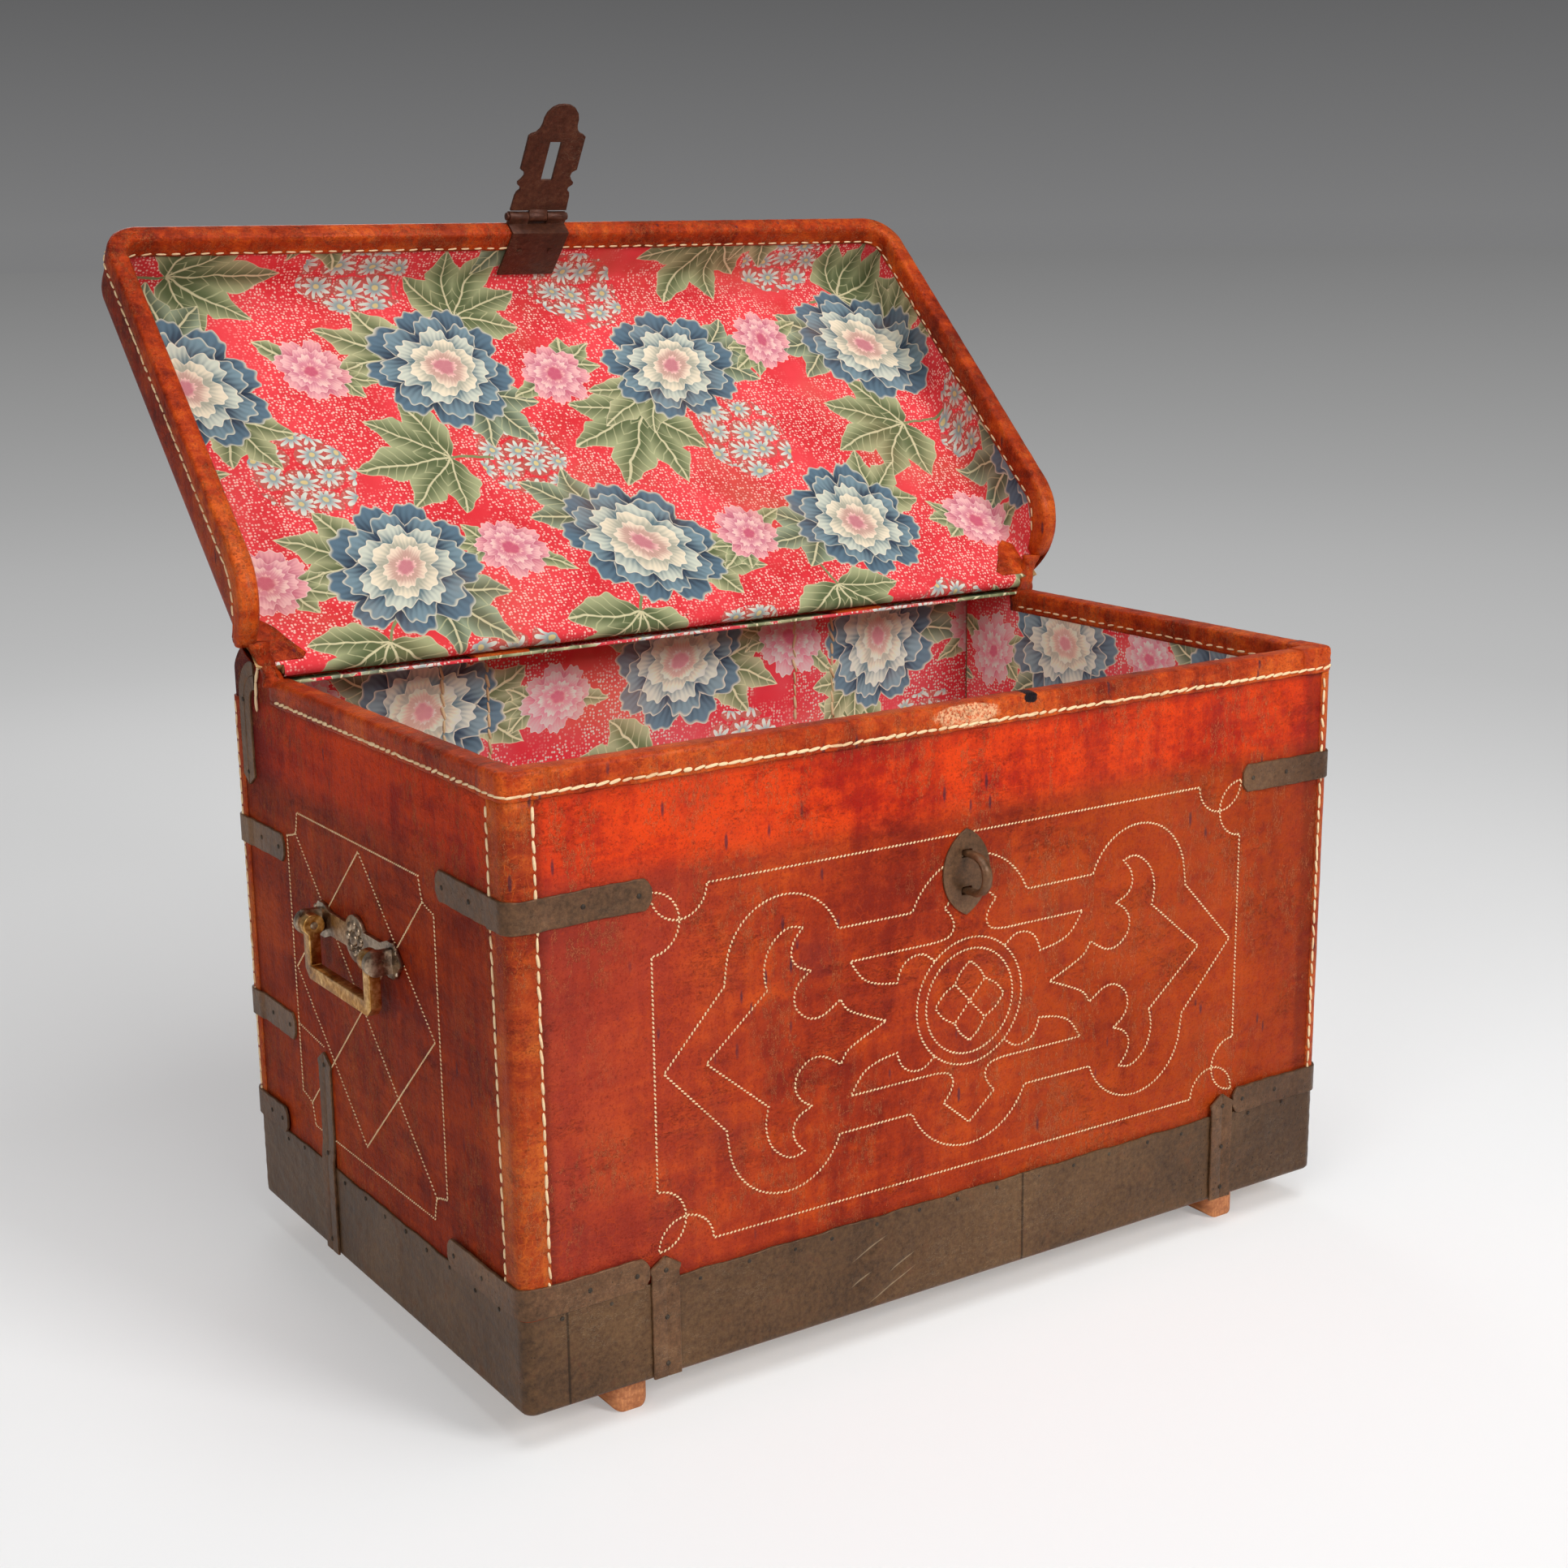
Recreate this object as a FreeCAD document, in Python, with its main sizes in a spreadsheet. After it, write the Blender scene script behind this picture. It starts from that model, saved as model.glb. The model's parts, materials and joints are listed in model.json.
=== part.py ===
import FreeCAD, Part
import math
import os
import re

# Leather-covered travel trunk with an open cap lid, iron straps and brass handles.
# Millimetres. X runs to the right along the front, Y to the back, Z up.
# The origin is on the floor, under the middle of the whole trunk with its lid open.

doc = FreeCAD.newDocument("travel_trunk")

# Driving dimensions
SIZES = {
    "body_width": 660, "body_depth": 418, "body_height": 396, "runner_height": 24,
    "corner_radius": 7, "board": 10, "leather": 2, "lining": 1,
    "trim_leather": 1.5, "strap_iron": 1.6, "strap_width": 20,
    "fit_gap": 0.3, "overrun": 2,
    "hinge_setback": 74, "hinge_rise": 8, "hinge_gap": 0.4, "open_angle": 136.3,
    "shoulder_rise": 22, "shoulder_radius": 42,
    "lid_side_margin": 21.5, "lid_front_margin": 18.5, "lid_skirt": 50.5,
    "lid_board": 7, "lid_wall_board": 8, "lid_edge_radius": 30, "lid_inner_radius": 10,
    "lid_corner_radius": 26, "lid_heel_radius": 45, "lid_heel_setback": 13,
    "binding_height": 16, "corner_strip_width": 18,
    "band_height": 64, "base_strap_height": 82, "upper_strap_height": 312,
    "front_strap_leg": 93, "side_strap_leg": 91, "base_strap_leg": 84,
    "back_strap_leg": 81, "back_upper_height": 280, "back_lower_height": 150,
    "back_base_leg": 58, "base_post_inset": 96, "base_post_height": 80,
    "side_post_setback": 131, "side_post_height": 146,
    "shoulder_iron_width": 20, "shoulder_iron_setback": 15, "shoulder_iron_drop": 81,
    "shoulder_iron_radius": 30,
    "runner_width": 28, "runner_inset": 78, "runner_setback": 12, "runner_rounding": 9,
    "nail_radius": 2.2, "nail_height": 1, "nail_inset": 9, "band_nail_pitch": 33,
    "band_nail_drop": 5,
    "staple_height": 286, "staple_plate_width": 38, "staple_plate_height": 58,
    "staple_width": 8, "staple_loop_height": 30, "staple_loop_reach": 25,
    "staple_rod": 5, "staple_play": 0.1,
    "hasp_width": 50, "hasp_length": 100, "hasp_iron": 2.5, "hasp_drop": 6,
    "hasp_barrel_radius": 4.2, "hasp_pin_radius": 2, "hasp_pin_play": 0.05,
    "hasp_head_radius": 17, "hasp_shoulder_drop": 66, "hasp_slot_width": 10,
    "hasp_slot_length": 34, "hasp_slot_drop": 50.5, "hasp_waist_drop": 30,
    "hasp_waist_width": 40, "hasp_rest_angle": 10.7, "hasp_knuckle_width": 16,
    "hasp_leaf_length": 43, "hasp_leaf_iron": 2, "hasp_pin_head_radius": 3,
    "hasp_pin_head": 2, "rivet_spacing": 28, "rivet_height": 17,
    "handle_height": 246, "handle_setback": 201, "handle_plate_length": 142,
    "handle_plate_iron": 3, "handle_rosette_radius": 16, "handle_neck_height": 16,
    "handle_leaf_height": 24, "handle_stand_off": 13, "lug_spacing": 111.6,
    "lug_radius": 8.5, "lug_thickness": 5, "lug_play": 0.3, "bail_spacing": 96,
    "bail_leg": 10, "bail_thickness": 8, "bail_drop": 32, "bail_grip": 10,
    "bail_eye_radius": 7.5, "bail_pin_radius": 2.5, "bail_pin_play": 0.05,
    "bail_chamfer": 6,
    "hinge_strap_width": 43, "hinge_strap_spacing": 314, "hinge_strap_foot": 296,
    "hinge_strap_leather": 2, "strap_tail": 6,
}
# Driving counts and shares
BEND_STEPS = 4
WAIST_NOTCH_SHARE = 0.45
LEAF_SHARE = 0.72
SLANT_SHARE = math.sqrt(0.5)

sheet = doc.addObject("Spreadsheet::Sheet", "Sizes")
for row, (alias, value) in enumerate(SIZES.items(), start=1):
    sheet.set("A%d" % row, alias)
    sheet.set("B%d" % row, str(value))
    sheet.setAlias("B%d" % row, alias)
doc.recompute()

# Places used by many pieces, as expressions of the driving dimensions
LEFT = "(0 - body_width / 2)"
RIGHT = "(body_width / 2)"
FRONT = "(0 - body_depth / 2 - frame_setback)"
BACK = "(body_depth / 2 - frame_setback)"
UNDERSIDE = "runner_height"
RIM = "(runner_height + body_height)"
WALL = "(leather + board)"
LINED_WALL = "(leather + board + lining)"
SHOULDER = "(runner_height + body_height + shoulder_rise)"
SHOULDER_FOOT = "(runner_height + body_height + shoulder_rise - shoulder_radius)"
HINGE_Y = "(body_depth / 2 - frame_setback - hinge_setback)"
HINGE_Z = "(runner_height + body_height + hinge_rise)"
LID_STACK = "(leather + lid_board + lining)"
LID_WALL = "(leather + lid_wall_board + lining)"
LID_TOP = "(%s + %s / 2)" % (HINGE_Z, LID_STACK)
LID_CEILING = "(%s - %s / 2)" % (HINGE_Z, LID_STACK)
LID_RIM = "(%s - lid_skirt)" % RIM
LID_HALF = "(body_width / 2 + lid_side_margin)"
LID_FRONT = "(%s - lid_front_margin)" % FRONT


def expression(text):
    """The same text with each size written as its cell of the sheet."""
    return re.sub(r"[a-z_]+", lambda found: "Sizes." + found.group(0), text)


def size(text):
    """The value of an expression of the driving dimensions."""
    worked = re.sub(r"[a-z_]+", lambda found: str(sheet.get(found.group(0))), text)
    return float(FreeCAD.Units.Quantity(worked).Value)


def bind(feature, **expressions):
    """Bind properties of a feature to expressions of the sheet's cells."""
    for name, text in expressions.items():
        feature.setExpression(name, expression(text))
    return feature


def place(feature, x="0", y="0", z="0"):
    """Bind the base point of a feature's placement."""
    for axis, text in (("x", x), ("y", y), ("z", z)):
        feature.setExpression("Placement.Base." + axis, expression(text))
    return feature


def block(name, x, y, z):
    """A box given by its low and high ends along each axis."""
    box = doc.addObject("Part::Box", name)
    bind(box, Length="%s - (%s)" % (x[1], x[0]), Width="%s - (%s)" % (y[1], y[0]),
         Height="%s - (%s)" % (z[1], z[0]))
    return place(box, x[0], y[0], z[0])


def rod(name, radius, length, at, direction):
    """A cylinder from a base point along a direction."""
    cylinder = doc.addObject("Part::Cylinder", name)
    bind(cylinder, Radius=radius, Height=length)
    cylinder.Placement.Rotation = FreeCAD.Rotation(FreeCAD.Vector(0, 0, 1), direction)
    return place(cylinder, *at)


def boolean(kind, name, base, tool):
    """A cut, fuse or common of two features."""
    result = doc.addObject("Part::" + kind, name)
    result.Base = base
    result.Tool = tool
    return result


def cut(name, base, *tools):
    """A base feature with tools taken out of it, one after the other."""
    for index, tool in enumerate(tools, start=1):
        last = index == len(tools)
        base = boolean("Cut", name if last else "%s_step_%d" % (name, index), base, tool)
    return base


def common(name, base, tool):
    """What two features share."""
    return boolean("Common", name, base, tool)


def fuse(name, *pieces):
    """Several features joined into one."""
    result = doc.addObject("Part::MultiFuse", name)
    result.Shapes = list(pieces)
    return result


def rounded(name, base, radius, chosen):
    """A fillet on the edges of a feature that a test picks."""
    doc.recompute()
    fillet = doc.addObject("Part::Fillet", name)
    fillet.Base = base
    edges = enumerate(base.Shape.Edges, start=1)
    fillet.Edges = [(number, radius, radius) for number, edge in edges if chosen(edge)]
    return fillet


def mirrored(name, source):
    """The same piece on the trunk's other side."""
    mirror = doc.addObject("Part::Mirroring", name)
    mirror.Source = source
    mirror.Normal = FreeCAD.Vector(1, 0, 0)
    return mirror


def is_upright(edge):
    """True for an edge that runs along Z."""
    low, high = edge.Vertexes[0].Point, edge.Vertexes[-1].Point
    return abs(low.x - high.x) + abs(low.y - high.y) < size("fit_gap")


def tall_block(name, outset, top=SHOULDER):
    """The body's plan grown by an outset, from the underside up, with rounded corners."""
    grown = block(name + "_box", ("%s - %s" % (LEFT, outset), "%s + %s" % (RIGHT, outset)),
                  ("%s - %s" % (FRONT, outset), "%s + %s" % (BACK, outset)), (UNDERSIDE, top))
    return rounded(name, grown, size("corner_radius + %s" % outset), is_upright)


def sketch_points(sketch, segments):
    """Add lines and three-point arcs to a sketch; each segment is a list of (u, v) points."""
    for segment in segments:
        points = [FreeCAD.Vector(u, v, 0) for u, v in segment]
        if len(points) == 2:
            sketch.addGeometry(Part.LineSegment(*points), False)
        else:
            sketch.addGeometry(Part.Arc(*points), False)


def padded_outline(name, plane, segments, length, holes=()):
    """A body with one sketched outline, padded both ways from a plane, and its holes pocketed."""
    body = doc.addObject("PartDesign::Body", name)
    origin = [item for item in body.Origin.OriginFeatures if item.Role == plane][0]
    sketch = body.newObject("Sketcher::SketchObject", name + "_outline")
    sketch.AttachmentSupport = [(origin, "")]
    sketch.MapMode = "FlatFace"
    sketch_points(sketch, segments)
    pad = body.newObject("PartDesign::Pad", name + "_pad")
    pad.Profile = sketch
    pad.Midplane = True
    bind(pad, Length=length)
    body.Tip = pad
    for index, hole in enumerate(holes, start=1):
        opening = body.newObject("Sketcher::SketchObject", "%s_hole_%d" % (name, index))
        opening.AttachmentSupport = [(origin, "")]
        opening.MapMode = "FlatFace"
        sketch_points(opening, hole)
        pocket = body.newObject("PartDesign::Pocket", "%s_pocket_%d" % (name, index))
        pocket.Profile = opening
        pocket.Midplane = True
        bind(pocket, Length="%s + overrun" % length)
        body.Tip = pocket
    return body


def polygon(points):
    """Straight segments round a closed outline."""
    return [[points[index - 1], point] for index, point in enumerate(points)]


def side_extrusion(name, segments, x_low, x_high):
    """An outline in the side view (Y, Z) carried from one X to another."""
    sketch = doc.addObject("Sketcher::SketchObject", name + "_outline")
    turn = FreeCAD.Rotation(FreeCAD.Vector(1, 1, 1), math.degrees(math.tau / 3))
    sketch.Placement = FreeCAD.Placement(FreeCAD.Vector(), turn)
    sketch_points(sketch, segments)
    doc.recompute()
    solid = doc.addObject("Part::Extrusion", name)
    solid.Base = sketch
    solid.DirMode = "Normal"
    solid.Solid = True
    bind(solid, LengthFwd="%s - (%s)" % (x_high, x_low))
    return place(solid, x=x_low)


# The frame's origin lies under the middle between the staple and the open lid's edge
turned = math.radians(size("open_angle"))


def behind_hinge(ahead, above):
    """How far behind the hinge line a point ahead of it and above it lies once the lid is open."""
    return above * math.sin(turned) - ahead * math.cos(turned)


edge_turns = [math.pi / 2 * step / BEND_STEPS for step in range(BEND_STEPS + 1)]
edge_round = size("lid_edge_radius")
lid_ahead = size("body_depth - hinge_setback + lid_front_margin")
open_reach = max(
    behind_hinge(lid_ahead - edge_round * (1 - math.cos(turn)),
                 size("%s / 2" % LID_STACK) - edge_round * (1 - math.sin(turn)))
    for turn in edge_turns)
setback_row = "%d" % (len(SIZES) + 1)
sheet.set("A" + setback_row, "frame_setback")
sheet.set("B" + setback_row, str((open_reach - size("hinge_setback + staple_loop_reach")) / 2))
sheet.setAlias("B" + setback_row, "frame_setback")
doc.recompute()

# Side view of the body, with the raised and rounded shoulder at the back
open_slope = math.pi - turned
hinge_y, hinge_z = size(HINGE_Y), size(HINGE_Z)
seat_offset = size("%s / 2 + hinge_gap" % LID_STACK)
underside_z, rim_z = size(UNDERSIDE), size(RIM)
RIM_TOP = "(%s + trim_leather)" % RIM
rim_top = size(RIM_TOP)


def bevel_point(inset, height):
    """The point of the shoulder's bevel, moved inwards by an inset, at a height."""
    offset = seat_offset + inset
    drop = hinge_z - height - offset * math.cos(open_slope)
    return (hinge_y + offset * math.sin(open_slope) - drop / math.tan(open_slope), height)


def shoulder_curve(inset, foot_height):
    """The bevel's foot and top, then the round's start, middle and end, for an inset."""
    radius = size("shoulder_radius") - inset
    centre_y, centre_z = size("%s - shoulder_radius" % BACK), size(SHOULDER_FOOT)
    slant = radius * SLANT_SHARE
    return (bevel_point(inset, foot_height), bevel_point(inset, centre_z + radius),
            (centre_y, centre_z + radius), (centre_y + slant, centre_z + slant),
            (centre_y + radius, centre_z))


def body_outline(inset):
    """The body's closed side view, moved inwards by an inset at the front, back and shoulder."""
    foot, top, start, middle, end = shoulder_curve(inset, rim_z)
    front_y = size(FRONT) + inset
    return [[(front_y, underside_z), (front_y, rim_z)], [(front_y, rim_z), foot], [foot, top],
            [top, start], [start, middle, end], [end, (end[0], underside_z)],
            [(end[0], underside_z), (front_y, underside_z)]]


# The body's plans and solids, one inside the other, and the shells between them
CAVITY_X = ("%s + %s" % (LEFT, WALL), "%s - %s" % (RIGHT, WALL))
CAVITY_Y = ("%s + %s" % (FRONT, WALL), "%s - %s" % (BACK, WALL))
LINED_X = ("%s + %s" % (LEFT, LINED_WALL), "%s - %s" % (RIGHT, LINED_WALL))
strap_block = tall_block("strap_block", "(trim_leather + strap_iron)")
trim_block = tall_block("trim_block", "trim_leather")
skin_block = tall_block("skin_block", "0")
board_block = tall_block("board_block", "(0 - leather)")
skin_solid = common("skin_solid", skin_block,
                    side_extrusion("skin_profile", body_outline(size("0")), LEFT, RIGHT))
board_solid = common("board_solid", board_block,
                     side_extrusion("board_profile", body_outline(size("leather")), LEFT, RIGHT))
cavity_solid = side_extrusion("cavity_solid", body_outline(size(WALL)), *CAVITY_X)
lined_solid = side_extrusion("lined_solid", body_outline(size(LINED_WALL)), *LINED_X)
skin_shell = cut("skin_shell", skin_solid, board_solid)
board_shell = cut("board_shell", board_solid, cavity_solid)
trim_shell = cut("trim_shell", trim_block, skin_block)
strap_shell = cut("strap_shell", strap_block, trim_block)

# Boards of the body, with a slot under the shoulder's front edge for the hinge straps
hinge_slot = block("hinge_slot", ("%s + corner_radius" % LEFT, "%s - corner_radius" % RIGHT),
                   (HINGE_Y, "%s - shoulder_radius" % BACK), (RIM, RIM_TOP))
FLOOR_TOP = "(runner_height + board)"
floor_board = block("floor_board", CAVITY_X, CAVITY_Y, (UNDERSIDE, FLOOR_TOP))
front_board_sheet = common("front_board_sheet", board_shell, block(
    "front_board_zone", (LEFT, RIGHT), (FRONT, CAVITY_Y[0]), (UNDERSIDE, RIM)))
left_end_board = common("left_end_board", board_shell, block(
    "left_end_zone", (LEFT, CAVITY_X[0]), (CAVITY_Y[0], BACK), (UNDERSIDE, SHOULDER)))
right_end_board = mirrored("right_end_board", left_end_board)
back_board = common("back_board", board_shell, block(
    "back_board_zone", CAVITY_X, (CAVITY_Y[1], BACK), (UNDERSIDE, SHOULDER_FOOT)))
shoulder_board = cut("shoulder_board", common("shoulder_sheet", board_shell, block(
    "shoulder_zone", CAVITY_X, (HINGE_Y, BACK), (SHOULDER_FOOT, SHOULDER))), hinge_slot)

# Staple, with two tails clenched through the plate, the leather and the front board
STAPLE_Z = "(runner_height + staple_height)"
loop_half = size("staple_loop_height / 2")
rod_size = size("staple_rod")
tail_back = size("%s + %s" % (FRONT, WALL))
loop_reach = size("%s - staple_loop_reach" % FRONT)
bend_y = loop_reach + loop_half
staple_z = size(STAPLE_Z)


def staple_outline():
    """A D-shaped loop with two straight tails, in the side view."""
    outer_low, outer_high = staple_z - loop_half, staple_z + loop_half
    inner_low, inner_high = outer_low + rod_size, outer_high - rod_size
    return [
        [(tail_back, outer_high), (bend_y, outer_high)],
        [(bend_y, outer_high), (loop_reach, staple_z), (bend_y, outer_low)],
        [(bend_y, outer_low), (tail_back, outer_low)], [(tail_back, outer_low), (tail_back, inner_low)],
        [(tail_back, inner_low), (bend_y, inner_low)],
        [(bend_y, inner_low), (loop_reach + rod_size, staple_z), (bend_y, inner_high)],
        [(bend_y, inner_high), (tail_back, inner_high)],
        [(tail_back, inner_high), (tail_back, outer_high)]]


staple = side_extrusion("staple", staple_outline(), "0 - staple_width / 2", "staple_width / 2")
staple_tail_holes = fuse("staple_tail_holes", *[block(
    "staple_hole_%s" % side,
    ("0 - staple_width / 2 - staple_play", "staple_width / 2 + staple_play"),
    ("%s - staple_loop_reach" % FRONT, "%s + %s + overrun" % (FRONT, WALL)),
    ("%s + (%s) - staple_play" % (STAPLE_Z, low), "%s + (%s) + staple_play" % (STAPLE_Z, high)))
    for side, low, high in (
        ("upper", "staple_loop_height / 2 - staple_rod", "staple_loop_height / 2"),
        ("lower", "0 - staple_loop_height / 2", "staple_rod - staple_loop_height / 2"))])
front_board = cut("front_board", front_board_sheet, staple_tail_holes)

# Staple plate, a pointed oval
plate_half = size("staple_plate_height / 2")
plate_side = size("staple_plate_width / 2")
staple_plate_blank = padded_outline(
    "staple_plate_blank", "XZ_Plane",
    [[(0, plate_half), (plate_side, 0), (0, -plate_half)],
     [(0, -plate_half), (-plate_side, 0), (0, plate_half)]], "strap_iron")
place(staple_plate_blank, y="%s - strap_iron / 2" % FRONT, z=STAPLE_Z)
staple_plate = cut("staple_plate", staple_plate_blank, staple_tail_holes)

# Leather skins of the body; the front one turns both front corners
FRONT_TURN = "%s + corner_radius" % FRONT
LEFT_TURN = "%s + corner_radius" % LEFT
front_leather_sheet = common("front_leather_sheet", skin_shell, block(
    "front_skin_zone", (LEFT, RIGHT), (FRONT, FRONT_TURN), (UNDERSIDE, RIM)))
front_leather = cut("front_leather", front_leather_sheet, staple_tail_holes)
left_leather = common("left_leather", skin_shell, block(
    "left_skin_zone", (LEFT, LEFT_TURN), (FRONT_TURN, BACK), (UNDERSIDE, SHOULDER)))
right_leather = mirrored("right_leather", left_leather)
back_leather = cut("back_leather", common("back_leather_sheet", skin_shell, block(
    "back_skin_zone", (LEFT_TURN, "%s - corner_radius" % RIGHT), (HINGE_Y, BACK),
    (UNDERSIDE, SHOULDER))), hinge_slot)

# Cotton lining of the body, up to the shoulder's curve and left open under the hinge straps
STRAP_FOOT = "(runner_height + hinge_strap_foot)"
LINING_TOP = "(%s + lining)" % FLOOR_TOP


def strap_span(side):
    """The X ends of a hinge strap; side is -1 on the left and 1 on the right."""
    centre = "(%d * hinge_strap_spacing / 2)" % side
    return ("%s - hinge_strap_width / 2" % centre, "%s + hinge_strap_width / 2" % centre)


lining_floor = block("lining_floor", CAVITY_X, CAVITY_Y, (FLOOR_TOP, LINING_TOP))
lining_foot = block("lining_foot", CAVITY_X, CAVITY_Y, (UNDERSIDE, LINING_TOP))
strap_rooms = fuse("strap_rooms", *[
    block("strap_room_%s" % name, strap_span(side), (HINGE_Y, BACK), (STRAP_FOOT, SHOULDER_FOOT))
    for name, side in (("left", -1), ("right", 1))])
bare_shoulder = block("bare_shoulder", LINED_X, (HINGE_Y, BACK), (SHOULDER_FOOT, SHOULDER))
lining_walls = cut("lining_walls", cavity_solid, lined_solid, lining_foot, bare_shoulder, strap_rooms)

# Leather hinge straps, nailed up the back board, round the inside of the shoulder and forward
strap_leather = size("hinge_strap_leather")
strap_foot, tail_end = size(STRAP_FOOT), size("%s - strap_tail" % HINGE_Y)
outer_foot, outer_top, outer_start, outer_middle, outer_end = shoulder_curve(size(WALL), rim_top)
inner_foot, inner_top, inner_start, inner_middle, inner_end = shoulder_curve(
    size(WALL) + strap_leather, rim_top - strap_leather)
strap_outline = [
    [(tail_end, rim_top), outer_foot], [outer_foot, outer_top], [outer_top, outer_start],
    [outer_start, outer_middle, outer_end], [outer_end, (outer_end[0], strap_foot)],
    [(outer_end[0], strap_foot), (inner_end[0], strap_foot)],
    [(inner_end[0], strap_foot), inner_end], [inner_end, inner_middle, inner_start],
    [inner_start, inner_top], [inner_top, inner_foot],
    [inner_foot, (tail_end, rim_top - strap_leather)],
    [(tail_end, rim_top - strap_leather), (tail_end, rim_top)]]
for strap_name, strap_side in (("left", -1), ("right", 1)):
    side_extrusion("hinge_strap_" + strap_name, strap_outline, *strap_span(strap_side))

# Leather strips sewn over the four upright corners, between the iron band and the rim binding
STRIP_FOOT = "(runner_height + band_height)"
STRIP_TOP = "(%s - binding_height)" % RIM
LEFT_OUT = "%s - trim_leather - strap_iron" % LEFT
RIGHT_OUT = "%s + trim_leather + strap_iron" % RIGHT
FRONT_OUT = "%s - trim_leather - strap_iron" % FRONT
BACK_OUT = "%s + trim_leather + strap_iron" % BACK
corner_strip_front_left = common("corner_strip_front_left", trim_shell, block(
    "front_strip_zone", (LEFT_OUT, "%s + corner_strip_width" % LEFT),
    (FRONT_OUT, "%s + corner_strip_width" % FRONT), (STRIP_FOOT, STRIP_TOP)))
corner_strip_front_right = mirrored("corner_strip_front_right", corner_strip_front_left)
corner_strip_back_left = common("corner_strip_back_left", trim_shell, block(
    "back_strip_zone", (LEFT_OUT, "%s + corner_strip_width" % LEFT),
    ("%s - shoulder_iron_setback + fit_gap" % BACK, BACK_OUT), (STRIP_FOOT, SHOULDER_FOOT)))
corner_strip_back_right = mirrored("corner_strip_back_right", corner_strip_back_left)

# Leather binding folded over the rim of the front and the two ends
binding_void = block(
    "binding_void", ("%s + trim_leather" % LINED_X[0], "%s - trim_leather" % LINED_X[1]),
    ("%s + %s + trim_leather" % (FRONT, LINED_WALL), BACK_OUT), (UNDERSIDE, SHOULDER))
binding_zone = block("binding_zone", (LEFT_OUT, RIGHT_OUT), (FRONT_OUT, HINGE_Y),
                     ("%s - binding_height" % RIM, RIM_TOP))
rim_wall = cut(
    "rim_wall", common("rim_wall_sheet", skin_block, block(
        "rim_wall_zone", (LEFT_OUT, RIGHT_OUT), (FRONT_OUT, BACK_OUT), (UNDERSIDE, RIM))),
    block("rim_wall_void", LINED_X, ("%s + %s" % (FRONT, LINED_WALL), BACK_OUT), (UNDERSIDE, RIM)))
rim_binding = cut("rim_binding", common("binding_band", trim_block, binding_zone), rim_wall,
                  binding_void)

# Iron band nailed round the foot of the body
BAND_TOP = "(runner_height + band_height)"
band_front = common("band_front", trim_shell, block(
    "band_front_zone", (LEFT_OUT, RIGHT_OUT), (FRONT_OUT, FRONT),
    (UNDERSIDE, BAND_TOP)))
band_back = common("band_back", trim_shell, block(
    "band_back_zone", (LEFT_OUT, RIGHT_OUT), (BACK, BACK_OUT),
    (UNDERSIDE, BAND_TOP)))
band_left = common("band_left", trim_shell, block(
    "band_left_zone", (LEFT_OUT, "%s + corner_radius" % LEFT), (FRONT, BACK),
    (UNDERSIDE, BAND_TOP)))
band_right = mirrored("band_right", band_left)


def corner_iron(name, leg_x, leg_y, low, high, at_back=False):
    """An iron strap bent round a left corner of the body, and its twin on the right."""
    y_span = ("%s - %s" % (BACK, leg_y), BACK_OUT) if at_back else (FRONT_OUT, "%s + %s" % (FRONT, leg_y))
    zone = block(name + "_zone", (LEFT_OUT, "%s + %s" % (LEFT, leg_x)), y_span, (low, high))
    left = common(name + "_left", strap_shell, zone)
    return left, mirrored(name + "_right", left)


def upright_span(centre):
    """The low and high ends of a strap of the usual width about a height."""
    return ("%s + %s - strap_width / 2" % (UNDERSIDE, centre),
            "%s + %s + strap_width / 2" % (UNDERSIDE, centre))


corner_iron("upper_iron_front", "front_strap_leg", "side_strap_leg",
            *upright_span("upper_strap_height"))
corner_iron("base_iron_front", "base_strap_leg", "front_strap_leg",
            "%s + base_strap_height - strap_width" % UNDERSIDE, "%s + base_strap_height" % UNDERSIDE)
corner_iron("upper_iron_back", "back_strap_leg", "back_strap_leg",
            *upright_span("back_upper_height"), at_back=True)
corner_iron("lower_iron_back", "back_strap_leg", "back_strap_leg",
            *upright_span("back_lower_height"), at_back=True)
corner_iron("base_iron_back", "back_base_leg", "back_base_leg",
            "%s + base_strap_height - strap_width" % UNDERSIDE, "%s + base_strap_height" % UNDERSIDE,
            at_back=True)

# Upright iron straps over the foot band
front_post_left = common("front_post_left", strap_shell, block(
    "front_post_zone", ("%s + base_post_inset - strap_width / 2" % LEFT,
                        "%s + base_post_inset + strap_width / 2" % LEFT), (FRONT_OUT, FRONT),
    (UNDERSIDE, "%s + base_post_height" % UNDERSIDE)))
front_post_right = mirrored("front_post_right", front_post_left)
side_post_left = common("side_post_left", strap_shell, block(
    "side_post_zone", (LEFT_OUT, LEFT),
    ("%s - side_post_setback - strap_width / 2" % BACK,
     "%s - side_post_setback + strap_width / 2" % BACK),
    (UNDERSIDE, "%s + side_post_height" % UNDERSIDE)))
side_post_right = mirrored("side_post_right", side_post_left)

# Shoulder irons, each bent on its flat along the shoulder's round
iron_radius = size("shoulder_iron_radius")
iron_inner = iron_radius - size("shoulder_iron_width")
iron_back = size("%s - shoulder_iron_setback" % BACK)
iron_centre = (iron_back - iron_radius, size(SHOULDER_FOOT))
iron_foot = size("%s - shoulder_iron_drop" % RIM)


def round_point(radius):
    """The middle of a quarter round about the shoulder iron's centre."""
    return (iron_centre[0] + radius * SLANT_SHARE, iron_centre[1] + radius * SLANT_SHARE)


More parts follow.
